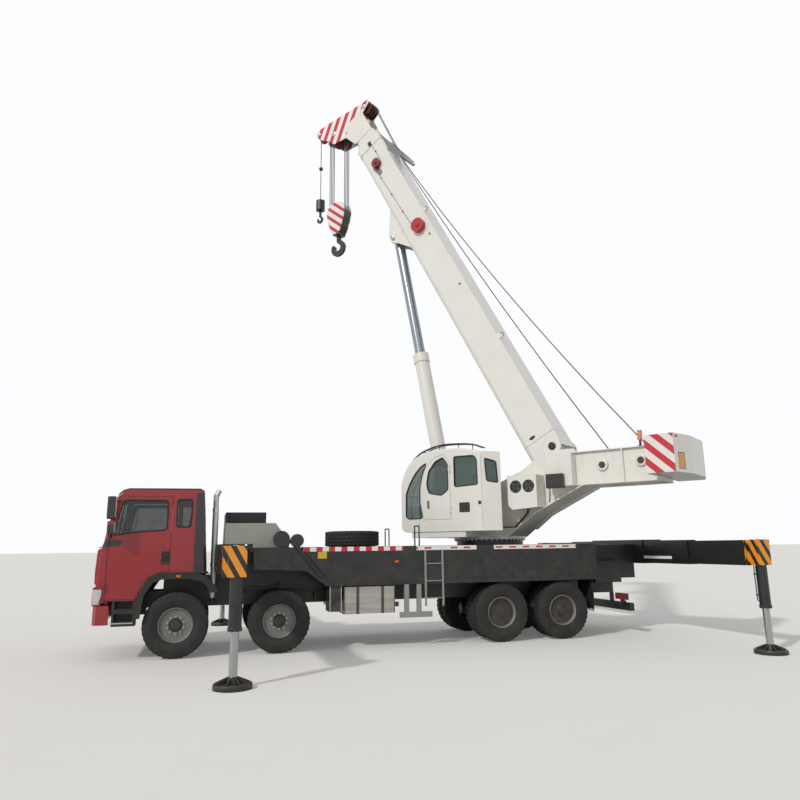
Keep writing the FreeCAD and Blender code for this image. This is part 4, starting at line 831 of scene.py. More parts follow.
# Boom
def boomPaint(f, colour):
    s, b, o = f.axes(boomFrame)
    out = b.above(0.342)
    for (along, off), radius, shade in zip(crane["reels"], (0.19, 0.14),
                                           (palette["reel"], palette["darkReel"])):
        colour = f.mix(out * reach(s - along, o - off).below(radius), colour, shade)
    # Black ends of the foot pin, and flat black spots on the side face that are painted shade where the
    # holes are
    pinsAndHoleShade = s.within(-0.08, 0.08) * abs(b).above(0.42)
    holes = [((0.42, -0.31), 0.035, 0.075)] + [(spot, 0.02, 0.02) for spot in crane["boltHoles"]]
    for (along, off), w, h in holes:
        pinsAndHoleShade = pinsAndHoleShade.orElse(reach((s - along) / w, (o - off) / h).below(1.0) * b.above(0.3))
    colour = f.mix(pinsAndHoleShade, colour, palette["black"])
    # Faces inside the hollow boom that look inward, the lift lugs' facing sides among them, are painted
    # shade in the grime colour; the seam near the foot is a dark joint
    outward = f.facing(boomFrame, "y") * b + f.facing(boomFrame, "z") * (o + 0.2)
    inner = outward.below(-0.01) * abs(b).below(0.331) * s.below(10.24) * o.within(-0.612, 0.171)
    arm = o.above(0.21) * s.above(8.9)
    colour = f.mix(arm, colour, palette["plate"])
    seam = abs(s - 0.32).below(0.004) * o.below(0.2)
    return f.mix(inner.orElse(seam), colour, palette["grime"])


dress(painted("boomWhite", palette["white"], 0.3, 0.05, high=3.0, paint=boomPaint, radius=0.01,
              streaks=0.04), "boom_base")
dress(painted("sectionWhite", palette["white"], 0.32, 0.05, high=3.0), "boom_section_2", "boom_section_3",
      "boom_section_4")
headStripes = {"pitch": 0.46, "share": 0.49, "start": -16.64, "lean": 1.3}


def headPaint(f, colour):
    s, b, o = f.axes(boomFrame)
    side = abs(b).within(0.2405, 0.2565)
    area = side * s.above(11.43).orElse(o.below(-0.6) * s.above(11.2))
    band = (o - s * headStripes["lean"]).bands(headStripes["pitch"], headStripes["share"],
                                               headStripes["start"])
    shade = f.mix(area, colour, f.mix(band, palette["stripeWhite"], palette["stripeRed"]))
    # Between the side plates the head is painted shade: the grime colour round the sheaves, and black on its
    # underside further in
    inner = abs(b).below(0.2405)
    sheaves = inner * s.above(11.2)
    shade = f.mix(sheaves, shade, palette["grime"])
    undersideShade = inner * s.within(10.62, 11.2) * o.below(-0.5)
    return f.mix(undersideShade, shade, palette["black"])


dress(painted("headStriped", palette["white"], 0.34, 0.05, high=3.0, paint=headPaint, radius=0.005),
      "boom_head_section")


def liftRodFinish():
    f = Finish("liftRodChrome")
    marks = f.noise(10.0, 3.0, (1, 1, 0.1)).ramp(0.4, 0.7, 0.0, 0.25)
    return f.done(f.shader({"Base Color": f.mix(marks, fromBytes(150, 156, 164), palette["steel"]),
                            "Metallic": 0.9, "Roughness": marks * 0.2 + 0.2, "Normal": f.rounded(0.004)}))


dress(liftRodFinish(), "lift_rod")
dress(painted("barrelWhite", palette["white"], 0.3, 0.05, high=3.0), "lift_barrel")
hookBands = {"pitch": 0.264, "share": 0.43, "start": 0.207, "lean": 0.83}


def hookPaint(f, colour):
    low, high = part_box("main_hook")
    centre = (upperFrame.inverted() @ Vector(((low.x + high.x) / 2, (low.y + high.y) / 2, low.z))).x
    axle = low.z + 0.99 + 0.265
    x, y, z = f.axes(upperFrame)
    cheek = abs(y).within(0.1345, 0.1555) * z.within(axle - 0.62, axle + 0.36)
    band = (z - axle - (x - centre) * hookBands["lean"]).bands(hookBands["pitch"], hookBands["share"],
                                                               hookBands["start"])
    shade = f.mix(cheek, colour, f.mix(band, palette["stripeWhite"], palette["stripeRed"]))
    rope = z.above(axle + 0.1) * abs(y).below(0.12)
    return f.mix(rope, shade, palette["ropeGrey"])


def hookHeight(f):
    # Strands of the rope falls, which wind round each fall
    x, y, z = f.axes(upperFrame)
    wave = (z * 60.0 + x * 140.0 + y * 140.0).maths("SINE")
    return wave * z.above(10.2)


dress(painted("hookStriped", palette["black"], 0.36, 0.03, high=3.0, paint=hookPaint, radius=0.006,
              height=hookHeight, depth=0.003), "main_hook")
dress(painted("auxiliaryHookBlack", palette["black"], 0.4, 0.03, high=3.0, radius=0.006), "auxiliary_hook")
print("finishes of the CAD nodes made")


# Rubber, metal and cloth of the pieces made here
def rubberFinish():
    f = Finish("tyreRubber")
    shade, settled = weathered(f, palette["rubber"], 0.1, 0.0, 1.3, 0.04, 0.0)
    fine = f.noise(90.0, 3.0)
    normal = f.bump(fine, 0.0012, 0.6, f.rounded(0.004))
    return f.done(f.shader({"Base Color": shade,
                            "Roughness": fine.ramp(0.3, 0.7, 0.68, 0.84) + settled * 0.1, "Normal": normal}))


def metalFinish(name, colour, rough=0.35, metallic=1.0, dust=0.1, brushed=0.2):
    f = Finish(name)
    shade, settled = weathered(f, colour, dust, 0.2, 2.4, 0.1, 0.05)
    fine = f.noise(40.0, 4.0)
    return f.done(f.shader({"Base Color": shade, "Metallic": metallic,
                            "Roughness": fine.ramp(0.3, 0.7, rough - 0.06, rough + brushed) + settled * 0.3,
                            "Normal": f.bump(fine, 0.0005, 0.4)}))


def clothFinish():
    # A woven seat cover: threads over and under each other, with a painted highlight that makes them a
    # little lighter along the crowns
    f = Finish("seatCloth")
    x, y, z = f.axes(truckFrame)
    pitch = 2 * math.pi / 0.006
    warp = ((y + x * 0.2) * pitch).maths("SINE")
    weft = ((x + z) * pitch).maths("SINE")
    weave = warp * weft
    shade = f.mix(f.noise(5.0, 4.0).ramp(0.35, 0.7), palette["seat"], fromBytes(62, 63, 66))
    # Raised crowns of the weave are painted lighter grey: a painted highlight
    shade = f.mix(weave.ramp(-1, 1, 0.0, 0.25), shade, palette["greyTrim"])
    normal = f.bump(weave, 0.0006, 0.7)
    return f.done(f.shader({"Base Color": shade, "Roughness": weave.ramp(-1, 1, 0.8, 0.95),
                            "Sheen Weight": 0.25, "Normal": normal}))


def lensFinish(name, colour, glow):
    f = Finish(name)
    ribs = (f.along(truckFrame, "y") * 420.0).maths("SINE") * (f.along(truckFrame, "z")
                                                               * 300.0).maths("SINE")
    # The ribs' crests are painted toward silver: a painted glint along the ribs
    shade = f.mix(ribs.ramp(-1, 1, 0.0, 0.35), colour, palette["silver"])
    return f.done(f.shader({"Base Color": shade, "Roughness": ribs.ramp(-1, 1, 0.08, 0.2),
                            "Coat Weight": 0.6, "Specular IOR Level": glow,
                            "Normal": f.bump(ribs, 0.001, 0.5)}))


def ropeFinish():
    f = Finish("wireRope")
    fine = f.noise(120.0, 3.0)
    shade = f.mix(fine.ramp(0.35, 0.7), palette["black"], palette["ropeGrey"])
    return f.done(f.shader({"Base Color": shade, "Metallic": 0.5, "Roughness": fine.ramp(0.3, 0.7, 0.4, 0.6),
                            "Normal": f.bump(fine, 0.001, 0.6)}))


rubber = rubberFinish()
rimGrey = metalFinish("rimGreyPaint", palette["rim"], 0.45, 0.1, 0.15)
# Dark hub paint; on the rear wheels it also gives the deep dish its dust and a painted shade
darkHubAndDishShade = metalFinish("hubBlackAndDishShade", fromBytes(48, 45, 42), 0.5, 0.1, 0.15)
nutMetal = metalFinish("nutSteel", palette["chrome"], 0.3, 0.9)
seatCloth = clothFinish()
clearLens = lensFinish("clearLens", palette["silver"], 0.8)
redLens = lensFinish("redLens", palette["lampRed"], 0.6)
amberLens = lensFinish("amberLens", palette["orange"], 0.6)
wireRope = ropeFinish()
gasketRubber = painted("gasketRubber", palette["rubber"], 0.6, 0.1, coat=0.0, radius=0.002)
mirrorGlass = metalFinish("mirrorGlass", palette["silver"], 0.07, 1.0, 0.02, 0.04)
blackTrim = painted("blackTrim", palette["plastic"], 0.45, 0.1, coat=0.1, radius=0.003)
whiteTrim = painted("whiteTrim", palette["white"], 0.35, 0.05, high=3.0)
dialFace = painted("dialFace", palette["black"], 0.2, 0.0, coat=0.6)
brightStrap = metalFinish("brightStrap", palette["silver"], 0.22, 0.95, 0.05)
tankStrap = metalFinish("tankStrap", palette["steel"], 0.35, 0.7, 0.05)

# Wheels
wheelSizes = {
    "radius": 0.56, "bead": 0.292, "frontWidth": 0.31, "rearWidth": 0.29, "twinGap": 0.035, "frontY": 1.022,
    "outerY": 1.09, "segments": 108, "lug": 0.017, "holes": 10, "holeCircle": 0.178, "holeRadius": 0.024,
    "nutCircle": 0.142,
}


def addTyre(bm, middle, width):
    # Sidewall and tread as one ring round the Y axis, the shoulders cut into lugs
    w, n, half = wheelSizes, wheelSizes["segments"], width / 2
    bead, top = w["bead"], w["radius"]
    side = [(bead, 0.66), (bead + 0.006, 0.76), (bead + 0.024, 0.80), (bead + 0.030, 0.845),
            (bead + 0.07, 0.94), (bead + 0.125, 1.0), (bead + 0.155, 1.0), (bead + 0.163, 0.985),
            (bead + 0.195, 0.975), (bead + 0.225, 0.955), (top - 0.028, 0.94), (top - 0.004, 0.86)]
    tread = [(top, 0.80), (top, 0.52), (top - 0.012, 0.50), (top - 0.012, 0.43), (top, 0.41), (top, 0.05),
             (top - 0.012, 0.03)]
    profile = [(r, -y * half) for r, y in side + tread] + [(r, y * half) for r, y in reversed(side + tread)]
    rings = []
    for k in range(n):
        angle = 2 * math.pi * (k + 0.5) / n
        low = k % 3 == 0
        ring = []
        for r, y in profile:
            cut = w["lug"] if low and r > top - 0.03 and abs(y) > 0.45 * half else 0.0
            ring.append(bm.verts.new(((r - cut) * math.sin(angle), middle + y,
                                      -(r - cut) * math.cos(angle))))
        rings.append(ring)
    for k in range(n):
        a, b = rings[k], rings[(k + 1) % n]
        for j in range(len(profile) - 1):
            bm.faces.new([a[j], b[j], b[j + 1], a[j + 1]])
        bm.faces.new([a[-1], b[-1], b[0], a[0]])


def addDisc(bm, y0, depth, inner, outer, outward):
    # A disc across Y with a ring of round holes; y0 is its outer face
    w = wheelSizes
    count = w["holes"]
    near, far = w["holeCircle"] - 0.034, w["holeCircle"] + 0.034
    spread = math.pi / count
    back = y0 - depth * outward

    def spot(radius, angle, y):
        return bm.verts.new((radius * math.cos(angle), y, radius * math.sin(angle)))
    for k in range(count):
        middle = 2 * math.pi * k / count
        rim, rear, hole, deep = [], [], [], []
        for j in range(16):
            t = 2 * math.pi * (j + 0.5) / 16
            reach = max(abs(math.cos(t)), abs(math.sin(t)))
            edge = (w["holeCircle"] + 0.034 * math.sin(t) / reach, middle + spread * math.cos(t) / reach)
            rim.append(spot(*edge, y0))
            rear.append(spot(*edge, back))
            x = w["holeCircle"] + w["holeRadius"] * math.sin(t)
            z = w["holeRadius"] * math.cos(t)
            spun = (x * math.cos(middle) - z * math.sin(middle), x * math.sin(middle) + z * math.cos(middle))
            hole.append(bm.verts.new((spun[0], y0, spun[1])))
            deep.append(bm.verts.new((spun[0], back, spun[1])))
        for j in range(16):
            i = (j + 1) % 16
            bm.faces.new([rim[j], rim[i], hole[i], hole[j]])
            bm.faces.new([hole[j], hole[i], deep[i], deep[j]])
            bm.faces.new([rear[j], deep[j], deep[i], rear[i]])
    for low, high in ((inner, near), (far, outer)):
        for y in (y0, back):
            rings = [[spot(r, 2 * math.pi * k / 80, y) for k in range(80)] for r in (low, high)]
            for k in range(80):
                j = (k + 1) % 80
                bm.faces.new([rings[0][k], rings[0][j], rings[1][j], rings[1][k]])


def addNuts(bm, y, outward, circle, count, size=0.016, height=0.022, turn=0.0):
    profile = [(0, size * 1.25), (0.004, size * 1.25), (0.004, size), (height, size), (height, size * 0.55),
               (height + 0.012, size * 0.5)]
    addRing(bm, (0, y, 0), circle, count, (0, outward, 0), profile, 6, turn)


def frontWheelPieces(name, x, side, lying=None, body=None):
    w = wheelSizes
    middle = 0.0 if lying else side * w["frontY"]
    group = lying or truckFrame @ Matrix.Translation((x, 0, w["radius"]))
    half = 0.72 * w["frontWidth"] / 2
    tyre = bmesh.new()
    addTyre(tyre, middle, w["frontWidth"])
    made = [piece(name + ".tyre", tyre, rubber, body, group, "tyre_rubber", angle=28)]
    face = middle + side * (half - 0.04)
    rim = bmesh.new()
    addLathe(rim, (0, middle - side * half, 0), (0, side, 0), [
        (0, 0.255), (0, 0.2915), (half * 2 - 0.006, 0.2915), (half * 2 + 0.006, 0.297),
        (half * 2 + 0.012, 0.290), (half * 2 + 0.004, 0.279), (half * 2 - 0.012, 0.266),
        (half * 2 - 0.034, 0.260), (half * 2 - 0.044, 0.250)], 80)
    addDisc(rim, face, 0.014, 0.10, 0.262, side)
    made.append(piece(name + ".rim", rim, rimGrey, body, group, "grey_paint", angle=30))
    nuts = bmesh.new()
    addNuts(nuts, face, side, w["nutCircle"], 10, turn=math.radians(18))
    made.append(piece(name + ".nuts", nuts, nutMetal, body, group, "steel"))
    hub = bmesh.new()
    addLathe(hub, (0, face - side * 0.03, 0), (0, side, 0),
             [(0, 0.118), (0.03, 0.118), (0.036, 0.112), (0.036, 0.098), (0.052, 0.094), (0.074, 0.086),
              (0.078, 0.076), (0.078, 0.052), (0.084, 0.048), (0.084, 0.0)], 40)
    addNuts(hub, face + side * 0.033, side, 0.104, 8, 0.007, 0.008)
    drum = middle - side * (half + 0.05)
    addLathe(hub, (0, drum, 0), (0, side, 0), [(0, 0.045), (0, 0.215), (0.12, 0.215), (0.12, 0.1)], 48)
    made.append(piece(name + ".hub", hub, darkHubAndDishShade, body, group, "steel"))
    if not lying:
        for part in made:
            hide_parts(name)
    return made


def twinWheelPieces(name, x, side):
    w = wheelSizes
    group = truckFrame @ Matrix.Translation((x, 0, w["radius"]))
    outer = side * w["outerY"]
    inner = side * (w["outerY"] - w["rearWidth"] - w["twinGap"])
    tyres = bmesh.new()
    addTyre(tyres, outer, w["rearWidth"])
    addTyre(tyres, inner, w["rearWidth"])
    made = [piece(name + ".tyres", tyres, rubber, name, group, "tyre_rubber", angle=28)]
    half = 0.72 * w["rearWidth"] / 2
    rims = bmesh.new()
    middle = (outer + inner) / 2
    deep = abs(outer + side * half - middle)
    for low, toward in ((outer, side), (inner, -side)):
        addLathe(rims, (0, low - toward * half, 0), (0, toward, 0), [
            (0, 0.2635), (0, 0.2915), (half * 2 - 0.006, 0.2915), (half * 2 + 0.006, 0.297),
            (half * 2 + 0.012, 0.290), (half * 2 + 0.004, 0.279), (half * 2 - 0.012, 0.268),
            (half * 2 - 0.05, 0.2635), (0, 0.2635)], 80)
    made.append(piece(name + ".rims", rims, rimGrey, name, group, "grey_paint", angle=30))
    # The rear dish, its disc, nuts, hub and inner drum take the dark hub colour: dust and painted shade
    # inside the deep dish
    dish = bmesh.new()
    addLathe(dish, (0, middle, 0), (0, side, 0),
             [(deep - 0.06, 0.2634), (deep - 0.09, 0.258), (0.05, 0.238), (0.022, 0.225), (0.014, 0.214)],
             80)
    addDisc(dish, middle + side * 0.014, 0.028, 0.10, 0.214, side)
    addNuts(dish, middle + side * 0.014, side, w["nutCircle"], 10, 0.017, 0.026, math.radians(18))
    addLathe(dish, (0, middle, 0), (0, side, 0),
             [(0, 0.128), (0.07, 0.128), (0.085, 0.12), (0.10, 0.112), (0.21, 0.104), (0.222, 0.094),
              (0.222, 0.0)], 40)
    addNuts(dish, middle + side * 0.088, side, 0.112, 12, 0.007, 0.010)
    addLathe(dish, (0, inner - side * (half + 0.04), 0), (0, side, 0),
             [(0, 0.045), (0, 0.215), (half * 2 - 0.02, 0.215), (half * 2 - 0.02, 0.1)], 48)
    made.append(piece(name + ".dish", dish, darkHubAndDishShade, name, group, "steel"))
    for part in made:
        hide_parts(name)


for axle, x in enumerate(crane["axles"], 1):
    for sideName, side in bothSides:
        if axle < 3:
            wheel = "wheel_%d_%s" % (axle, sideName)
            frontWheelPieces(wheel, x, side, body=wheel)
        else:
            twinWheelPieces("twin_wheel_%d_%s" % (axle, sideName), x, side)

spareFrame = truckFrame @ placed((-3.37, 0, 2.0253), 90, "X")
for part in frontWheelPieces("spareWheel", 0.0, 1, lying=spareFrame, body="carrier"):
    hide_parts("spare_wheel")
print("wheels made")

# Seats and cab interior
seatSizes = {
    "floor": 1.485, "across": 0.6, "cushion": (0.48, 0.50, 0.16), "back": (0.13, 0.46, 0.64),
    "head": (0.10, 0.26, 0.16),
}


def cushion(name, size, place, body, crown=0.18, channels=3, long="x"):
    # A crowned closed form: it swells in the middle, its sides pull in between the corners, and sewn
    # channels cross its top
    bm = bmesh.new()
    steps = 20
    bmesh.ops.create_cube(bm, size=2.0)
    bmesh.ops.subdivide_edges(bm, edges=bm.edges, cuts=steps - 1, use_grid_fill=True)
    for v in bm.verts:
        u, w, h = v.co
        along = u if long == "x" else h
        across = w
        swell = (1 - u ** 4) * (1 - w ** 4) * (1 - h ** 4 * 0.2)
        pull = 1 - 0.05 * (1 - abs(h)) - 0.035 * (1 - w * w) * abs(u) ** 6
        squeeze = 1 - 0.16 * (abs(u) ** 10 + abs(w) ** 10 + abs(h) ** 10 - max(abs(u), abs(w), abs(h)) ** 10)
        top = h if long == "x" else -u
        groove = 0.0
        if top > 0.6:
            groove = sum(math.exp(-((across - c) / 0.035) ** 2) for c in (-0.62, 0.62))
            if abs(across) < 0.62:
                lines = [2 * k / (channels + 1) - 1 for k in range(1, channels + 1)]
                groove += sum(math.exp(-((along - c) / 0.035) ** 2) for c in lines)
            groove = min(groove, 1.0)
        lift = crown * swell * (1 if top > 0 else 0.25)
        shape = Vector((u * pull, w * pull * (1 - 0.05 * (1 - u * u)), h)) * squeeze
        if long == "x":
            shape.z += (lift - groove * 0.07) * max(h, 0)
        else:
            shape.x -= (lift - groove * 0.07) * max(-u, 0)
        v.co = Vector((shape.x * size[0] / 2, shape.y * size[1] / 2, shape.z * size[2] / 2))
    made = piece(name, bm, seatCloth, body, place, "dark_plastic", angle=60)
    smooth = made.modifiers.new("smooth", "SUBSURF")
    smooth.levels = smooth.render_levels = 1
    return made


def truckSeats():
    s = seatSizes
    bases = bmesh.new()
    made = []
    for side, label in ((-1, "right"), (1, "left")):
        y = side * s["across"]
        base = Matrix.Translation((0.075, y, s["floor"] + 0.255))
        made.append(cushion("seat_%s.cushion" % label, s["cushion"], truckFrame @ base, "carrier"))
        back = placed((-0.165, y, s["floor"] + 0.67), -9.2)
        turned = truckFrame @ back @ Matrix.Scale(-1, 4, (1, 0, 0))
        made.append(cushion("seat_%s.back" % label, s["back"], turned, "carrier", 0.3, 4, "z"))
        head = placed((-0.235, y, s["floor"] + 1.06), -9.2)
        turned = truckFrame @ head @ Matrix.Scale(-1, 4, (1, 0, 0))
        made.append(cushion("seat_%s.headrest" % label, s["head"], turned, "carrier", 0.3, 0, "z"))
        addBlock(bases, (-0.15, 0.30), (y - 0.20, y + 0.20), (s["floor"], s["floor"] + 0.10))
        addLathe(bases, (0.07, y, s["floor"] + 0.09), (0, 0, 1),
                 [(0, 0.12), (0.02, 0.13), (0.045, 0.11), (0.065, 0.13), (0.09, 0.12)], 24)
        for d in (-0.06, 0.06):
            addRod(bases, (-0.228, y + d, s["floor"] + 0.94), (-0.232, y + d, s["floor"] + 1.02), 0.008, 10)
        addRod(bases, (0.25, y - side * 0.22, s["floor"] + 0.12), (0.31, y - side * 0.24, s["floor"] + 0.17),
               0.009, 10)
    made.append(onTruck("seat_bases", bases, blackTrim, "dark_plastic", 0.004))
    return made


def dashboard():
    bm = bmesh.new()
    outline = roundedOutline([(1.235, 1.46), (1.235, 1.90), (1.15, 1.935), (0.98, 1.90), (0.93, 1.82),
                              (0.955, 1.72), (1.02, 1.50)], 0.05, 4)
    addPrism(bm, outline, "y", -1.11, 1.11)
    hood = roundedOutline([(1.10, 1.90), (1.02, 1.975), (0.93, 1.955), (0.915, 1.90), (1.0, 1.84)], 0.03)
    addPrism(bm, hood, "y", 0.40, 0.80)
    for y in (-0.75, -0.15, 0.15, 0.93):
        addBlock(bm, (0.945, 0.985), (y - 0.07, y + 0.07), (1.785, 1.855))
    addBlock(bm, (1.08, 1.24), (-1.11, 1.11), (1.046, 1.47))
    made = [onTruck("dashboard", bm, blackTrim, "dark_plastic", 0.006)]
    vents = bmesh.new()
    for y in (-0.75, -0.15, 0.15, 0.93):
        for k in range(5):
            addBlock(vents, (0.938, 0.952), (y - 0.062, y + 0.062), (1.79 + k * 0.0125, 1.794 + k * 0.0125))
    for y in (0.5, 0.6, 0.7):
        addLathe(vents, (0.93, y, 1.91), (-0.9, 0, 0.25),
                 [(0, 0.036), (0.006, 0.036), (0.006, 0.031), (0.003, 0.03), (0.003, 0.0)], 24)
    made.append(onTruck("dash_dials_and_vents", vents, dialFace, "dark_plastic"))
    wheelPlace = placed((0.745, 0.6, 2.0), -32.7)
    steer = bmesh.new()
    addTube(steer, [wheelPlace @ Vector((p, q, 0)) for p, q in around(48, 0.215)], 0.0155, 12, closed=True)
    for angle in (25, 155, 270):
        end = Vector((0.21 * math.cos(math.radians(angle + 90)), 0.21 * math.sin(math.radians(angle + 90)),
                      0))
        addTube(steer, [wheelPlace @ (end * t + Vector((0, 0, -0.02 * (1 - t))))
                        for t in (0.15, 0.5, 0.8, 1.0)], 0.012, 8, flat=1.6)
    addLathe(steer, wheelPlace @ Vector((0, 0, -0.05)), wheelPlace.to_3x3() @ Vector((0, 0, 1)),
             [(0, 0.05), (0.035, 0.068), (0.05, 0.06), (0.058, 0.0)], 28)
    addRod(steer, (0.77, 0.6, 1.965), (0.985, 0.6, 1.68), 0.032, 20, 0.045)
    addRod(steer, (0.80, 0.6, 1.925), (0.79, 0.80, 1.96), 0.007, 8)
    addRod(steer, (0.80, 0.6, 1.925), (0.79, 0.40, 1.96), 0.007, 8)
    made.append(onTruck("steering_wheel", steer, blackTrim, "dark_plastic"))
    return made


for part in truckSeats() + dashboard():
    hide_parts("cab_interior")


def operatorSeat():
    floor = 2.19
    middle = 0.88
    made = []
    base = Matrix.Translation((-0.01, middle, floor + 0.41))
    made.append(cushion("operatorSeat.cushion", (0.50, 0.47, 0.15), upperFrame @ base, "turntable"))
    back = placed((-0.255, middle, floor + 0.81), -8.4)
    turned = upperFrame @ back @ Matrix.Scale(-1, 4, (1, 0, 0))
    made.append(cushion("operatorSeat.back", (0.12, 0.45, 0.62), turned, "turntable", 0.3, 4, "z"))
    bm = bmesh.new()
    addBlock(bm, (-0.25, 0.20), (0.68, 1.08), (floor, floor + 0.13))
    addLathe(bm, (-0.02, middle, floor + 0.12), (0, 0, 1),
             [(0, 0.13), (0.03, 0.15), (0.06, 0.12), (0.09, 0.15), (0.12, 0.12), (0.15, 0.15), (0.21, 0.14)],
             28)
    for side in (-1, 1):
        y = middle + side * 0.20
        addBlock(bm, (-0.16, 0.20), (y, y + side * 0.03), (floor + 0.36, floor + 0.475))
        addRod(bm, (0.15, y + side * 0.015, floor + 0.46), (0.17, y + side * 0.012, floor + 0.60), 0.012, 10)
        addLathe(bm, (0.17, y + side * 0.012, floor + 0.60), (0.1, 0, 1),
                 [(0, 0.014), (0.02, 0.024), (0.05, 0.02), (0.06, 0.0)], 16)
    made.append(onUpper("operatorSeat.base", bm, blackTrim, "dark_plastic", 0.004))
    return made


for part in operatorSeat():
    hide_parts("operator_seat")
print("seats made")

# Truck cab details
cabTrim = {
    "doorWindow": [(1.12, 2.11), (0.985, 2.72), (0.23, 2.72), (0.23, 2.2), (0.7, 2.17)],
    "quarterWindow": [(0.07, 2.25), (0.07, 2.74), (-0.19, 2.74), (-0.17, 2.25)],
    "gasket": 0.014, "face": 1.2, "screenHalf": 1.04, "screenLow": 2.01, "screenHigh": 2.76,
}


def screenX(z):
    # The windscreen's face, which leans back along the cab's front edge
    return 1.265 + (z - 1.975) / (2.8 - 1.975) * (1.085 - 1.265)


def windowFrames():
    trim = cabTrim
    for label, side in bothSides:
        door = bmesh.new()
        line = [(x, side * trim["face"], z) for x, z in roundedOutline(trim["doorWindow"], 0.07)]
        addTube(door, line, trim["gasket"], 8, closed=True)
        wing = [(1.02, side * 1.2, 2.13), (0.955, side * 1.2, 2.70)]
        addTube(door, wing, 0.009, 8)
        piece("door_window_gasket_" + label, door, gasketRubber, "cab_door_" + label, truckFrame,
              "dark_plastic")
    bm = bmesh.new()
    for side in (-1, 1):
        addTube(bm, [(x, side * trim["face"], z) for x, z in roundedOutline(trim["quarterWindow"], 0.05)],
                trim["gasket"], 8, closed=True)
    h = trim["screenHalf"]
    screen = [(-h, trim["screenLow"]), (h, trim["screenLow"]), (h, trim["screenHigh"]),
              (-h, trim["screenHigh"])]
    addTube(bm, [(screenX(z) + 0.004, y, z) for y, z in roundedOutline(screen, 0.09)], 0.017, 8, closed=True)
    onTruck("window_gaskets", bm, gasketRubber, "dark_plastic")


def wipers():
    bm = bmesh.new()
    for y in (-0.62, 0.02, 0.66):
        foot = Vector((screenX(2.0) + 0.022, y, 1.985))
        tip = Vector((screenX(2.38) + 0.028, y - 0.34, 2.38))
        addTube(bm, [foot, foot.lerp(tip, 0.4) + Vector((0.012, 0, 0)), tip], 0.006, 6)
        low = Vector((screenX(2.16) + 0.02, y - 0.50, 2.20))
        high = Vector((screenX(2.60) + 0.02, y - 0.16, 2.58))
        addTube(bm, [low, low.lerp(high, 0.5), high], 0.008, 6, flat=0.5)
        addLathe(bm, foot - Vector((0.02, 0, 0)), (1, 0, 0), [(0, 0.02), (0.026, 0.02), (0.032, 0.0)], 14)
    return onTruck("wipers", bm, blackTrim, "dark_plastic")


def lampsAndLenses():
    lens = bmesh.new()
    rim = bmesh.new()
    amber = bmesh.new()
    for side in (-1, 1):
        for y, radius in ((1.11, 0.075), (0.935, 0.075)):
            addLathe(lens, (1.3712, side * y, 1.10), (1, 0, 0),
                     [(0, radius), (0.0035, radius * 0.98), (0.0065, radius * 0.8), (0.0085, 0.0)], 32)
            addLathe(rim, (1.3712, side * y, 1.10), (1, 0, 0),
                     [(0, radius + 0.014), (0.008, radius + 0.012), (0.008, radius), (0, radius)], 32)
        addBlock(lens, (1.3715, 1.380), (side * 0.85, side * 1.19), (0.955, 0.995))
        addBlock(lens, (1.265, 1.36), (side * 1.2215, side * 1.2265), (0.985, 1.17))
        addBlock(amber, (1.3715, 1.379), (side * 1.195, side * 1.221), (0.985, 1.17))
    for side in (-1, 1):
        for y in (0.55, 0.3):
            addLathe(lens, (1.3622, side * y, 0.76), (1, 0, 0),
                     [(0, 0.052), (0.007, 0.050), (0.013, 0.03), (0.0145, 0.0)], 28)
            addLathe(rim, (1.3622, side * y, 0.76), (1, 0, 0),
                     [(0, 0.064), (0.007, 0.062), (0.007, 0.052), (0, 0.052)], 28)
    onTruck("headlamp_lenses", lens, clearLens, "glass")
    onTruck("lamp_rims", rim, nutMetal, "steel")
    onTruck("turn_signals", amber, amberLens, "glass", 0.002)


def cabSeams():
    # Seams, rails and grab handles that lie on the cab's faces
    bm = bmesh.new()
    roof = [(1.07, 2.825), (1.0, 2.888), (0.9, 2.922), (0.2, 2.926), (-0.31, 2.926), (-0.375, 2.885)]
    for side in (-1, 1):
        addTube(bm, [(x, side * 1.192, z) for x, z in roof], 0.010, 8)
        addTube(bm, [(x, side * 1.1995, z) for x, z in ((0.70, 1.0), (1.19, 1.005), (1.325, 1.0))], 0.007, 6)
    addTube(bm, [(screenX(1.9) + 0.062, y, 1.905) for y in (-1.1, -0.5, 0, 0.5, 1.1)], 0.007, 6)
    onTruck("cab_seams", bm, gasketRubber, "dark_plastic")
    for label, side in bothSides:
        handle = bmesh.new()
        addTube(handle, smoothLine([(0.175, side * 1.196, 1.695), (0.178, side * 1.214, 1.70),
                                    (0.225, side * 1.219, 1.705), (0.275, side * 1.214, 1.70),
                                    (0.28, side * 1.196, 1.695)], 4), 0.011, 10, flat=0.8)
        addLathe(handle, (0.31, side * 1.199, 1.66), (0, side, 0),
                 [(0, 0.012), (0.003, 0.012), (0.003, 0.0)], 14)
        piece("door_handle_" + label, handle, blackTrim, "cab_door_" + label, truckFrame, "dark_plastic")
        mirror = bmesh.new()
        for low, high in ((2.40, 2.75), (2.135, 2.33)):
            spots = roundedOutline([(side * 1.36, low), (side * 1.48, low), (side * 1.48, high),
                                    (side * 1.36, high)], 0.02)
            addPrism(mirror, spots, "x", 1.0605, 1.0655)
        piece("mirror_glass_" + label, mirror, mirrorGlass, "cab_door_" + label, truckFrame, "glass")


def treads():
    bm = bmesh.new()
    for side in (-1, 1):
        addBlock(bm, (0.70, 1.20), (side * 1.2005, side * 1.204), (0.622, 0.640))
    onTruck("step_edges", bm, brightStrap, "alu_sheet", 0.001)
    bm = bmesh.new()
    for side in (-1, 1):
        for z in (0.652, 0.862):
            for k in range(6):
                addBlock(bm, (0.735, 0.995), (side * (1.075 + k * 0.02), side * (1.085 + k * 0.02)),
                         (z, z + 0.006))
    onTruck("step_treads", bm, blackTrim, "dark_plastic", 0.001)


windowFrames()
wipers()
lampsAndLenses()
cabSeams()
treads()
print("cab details made")

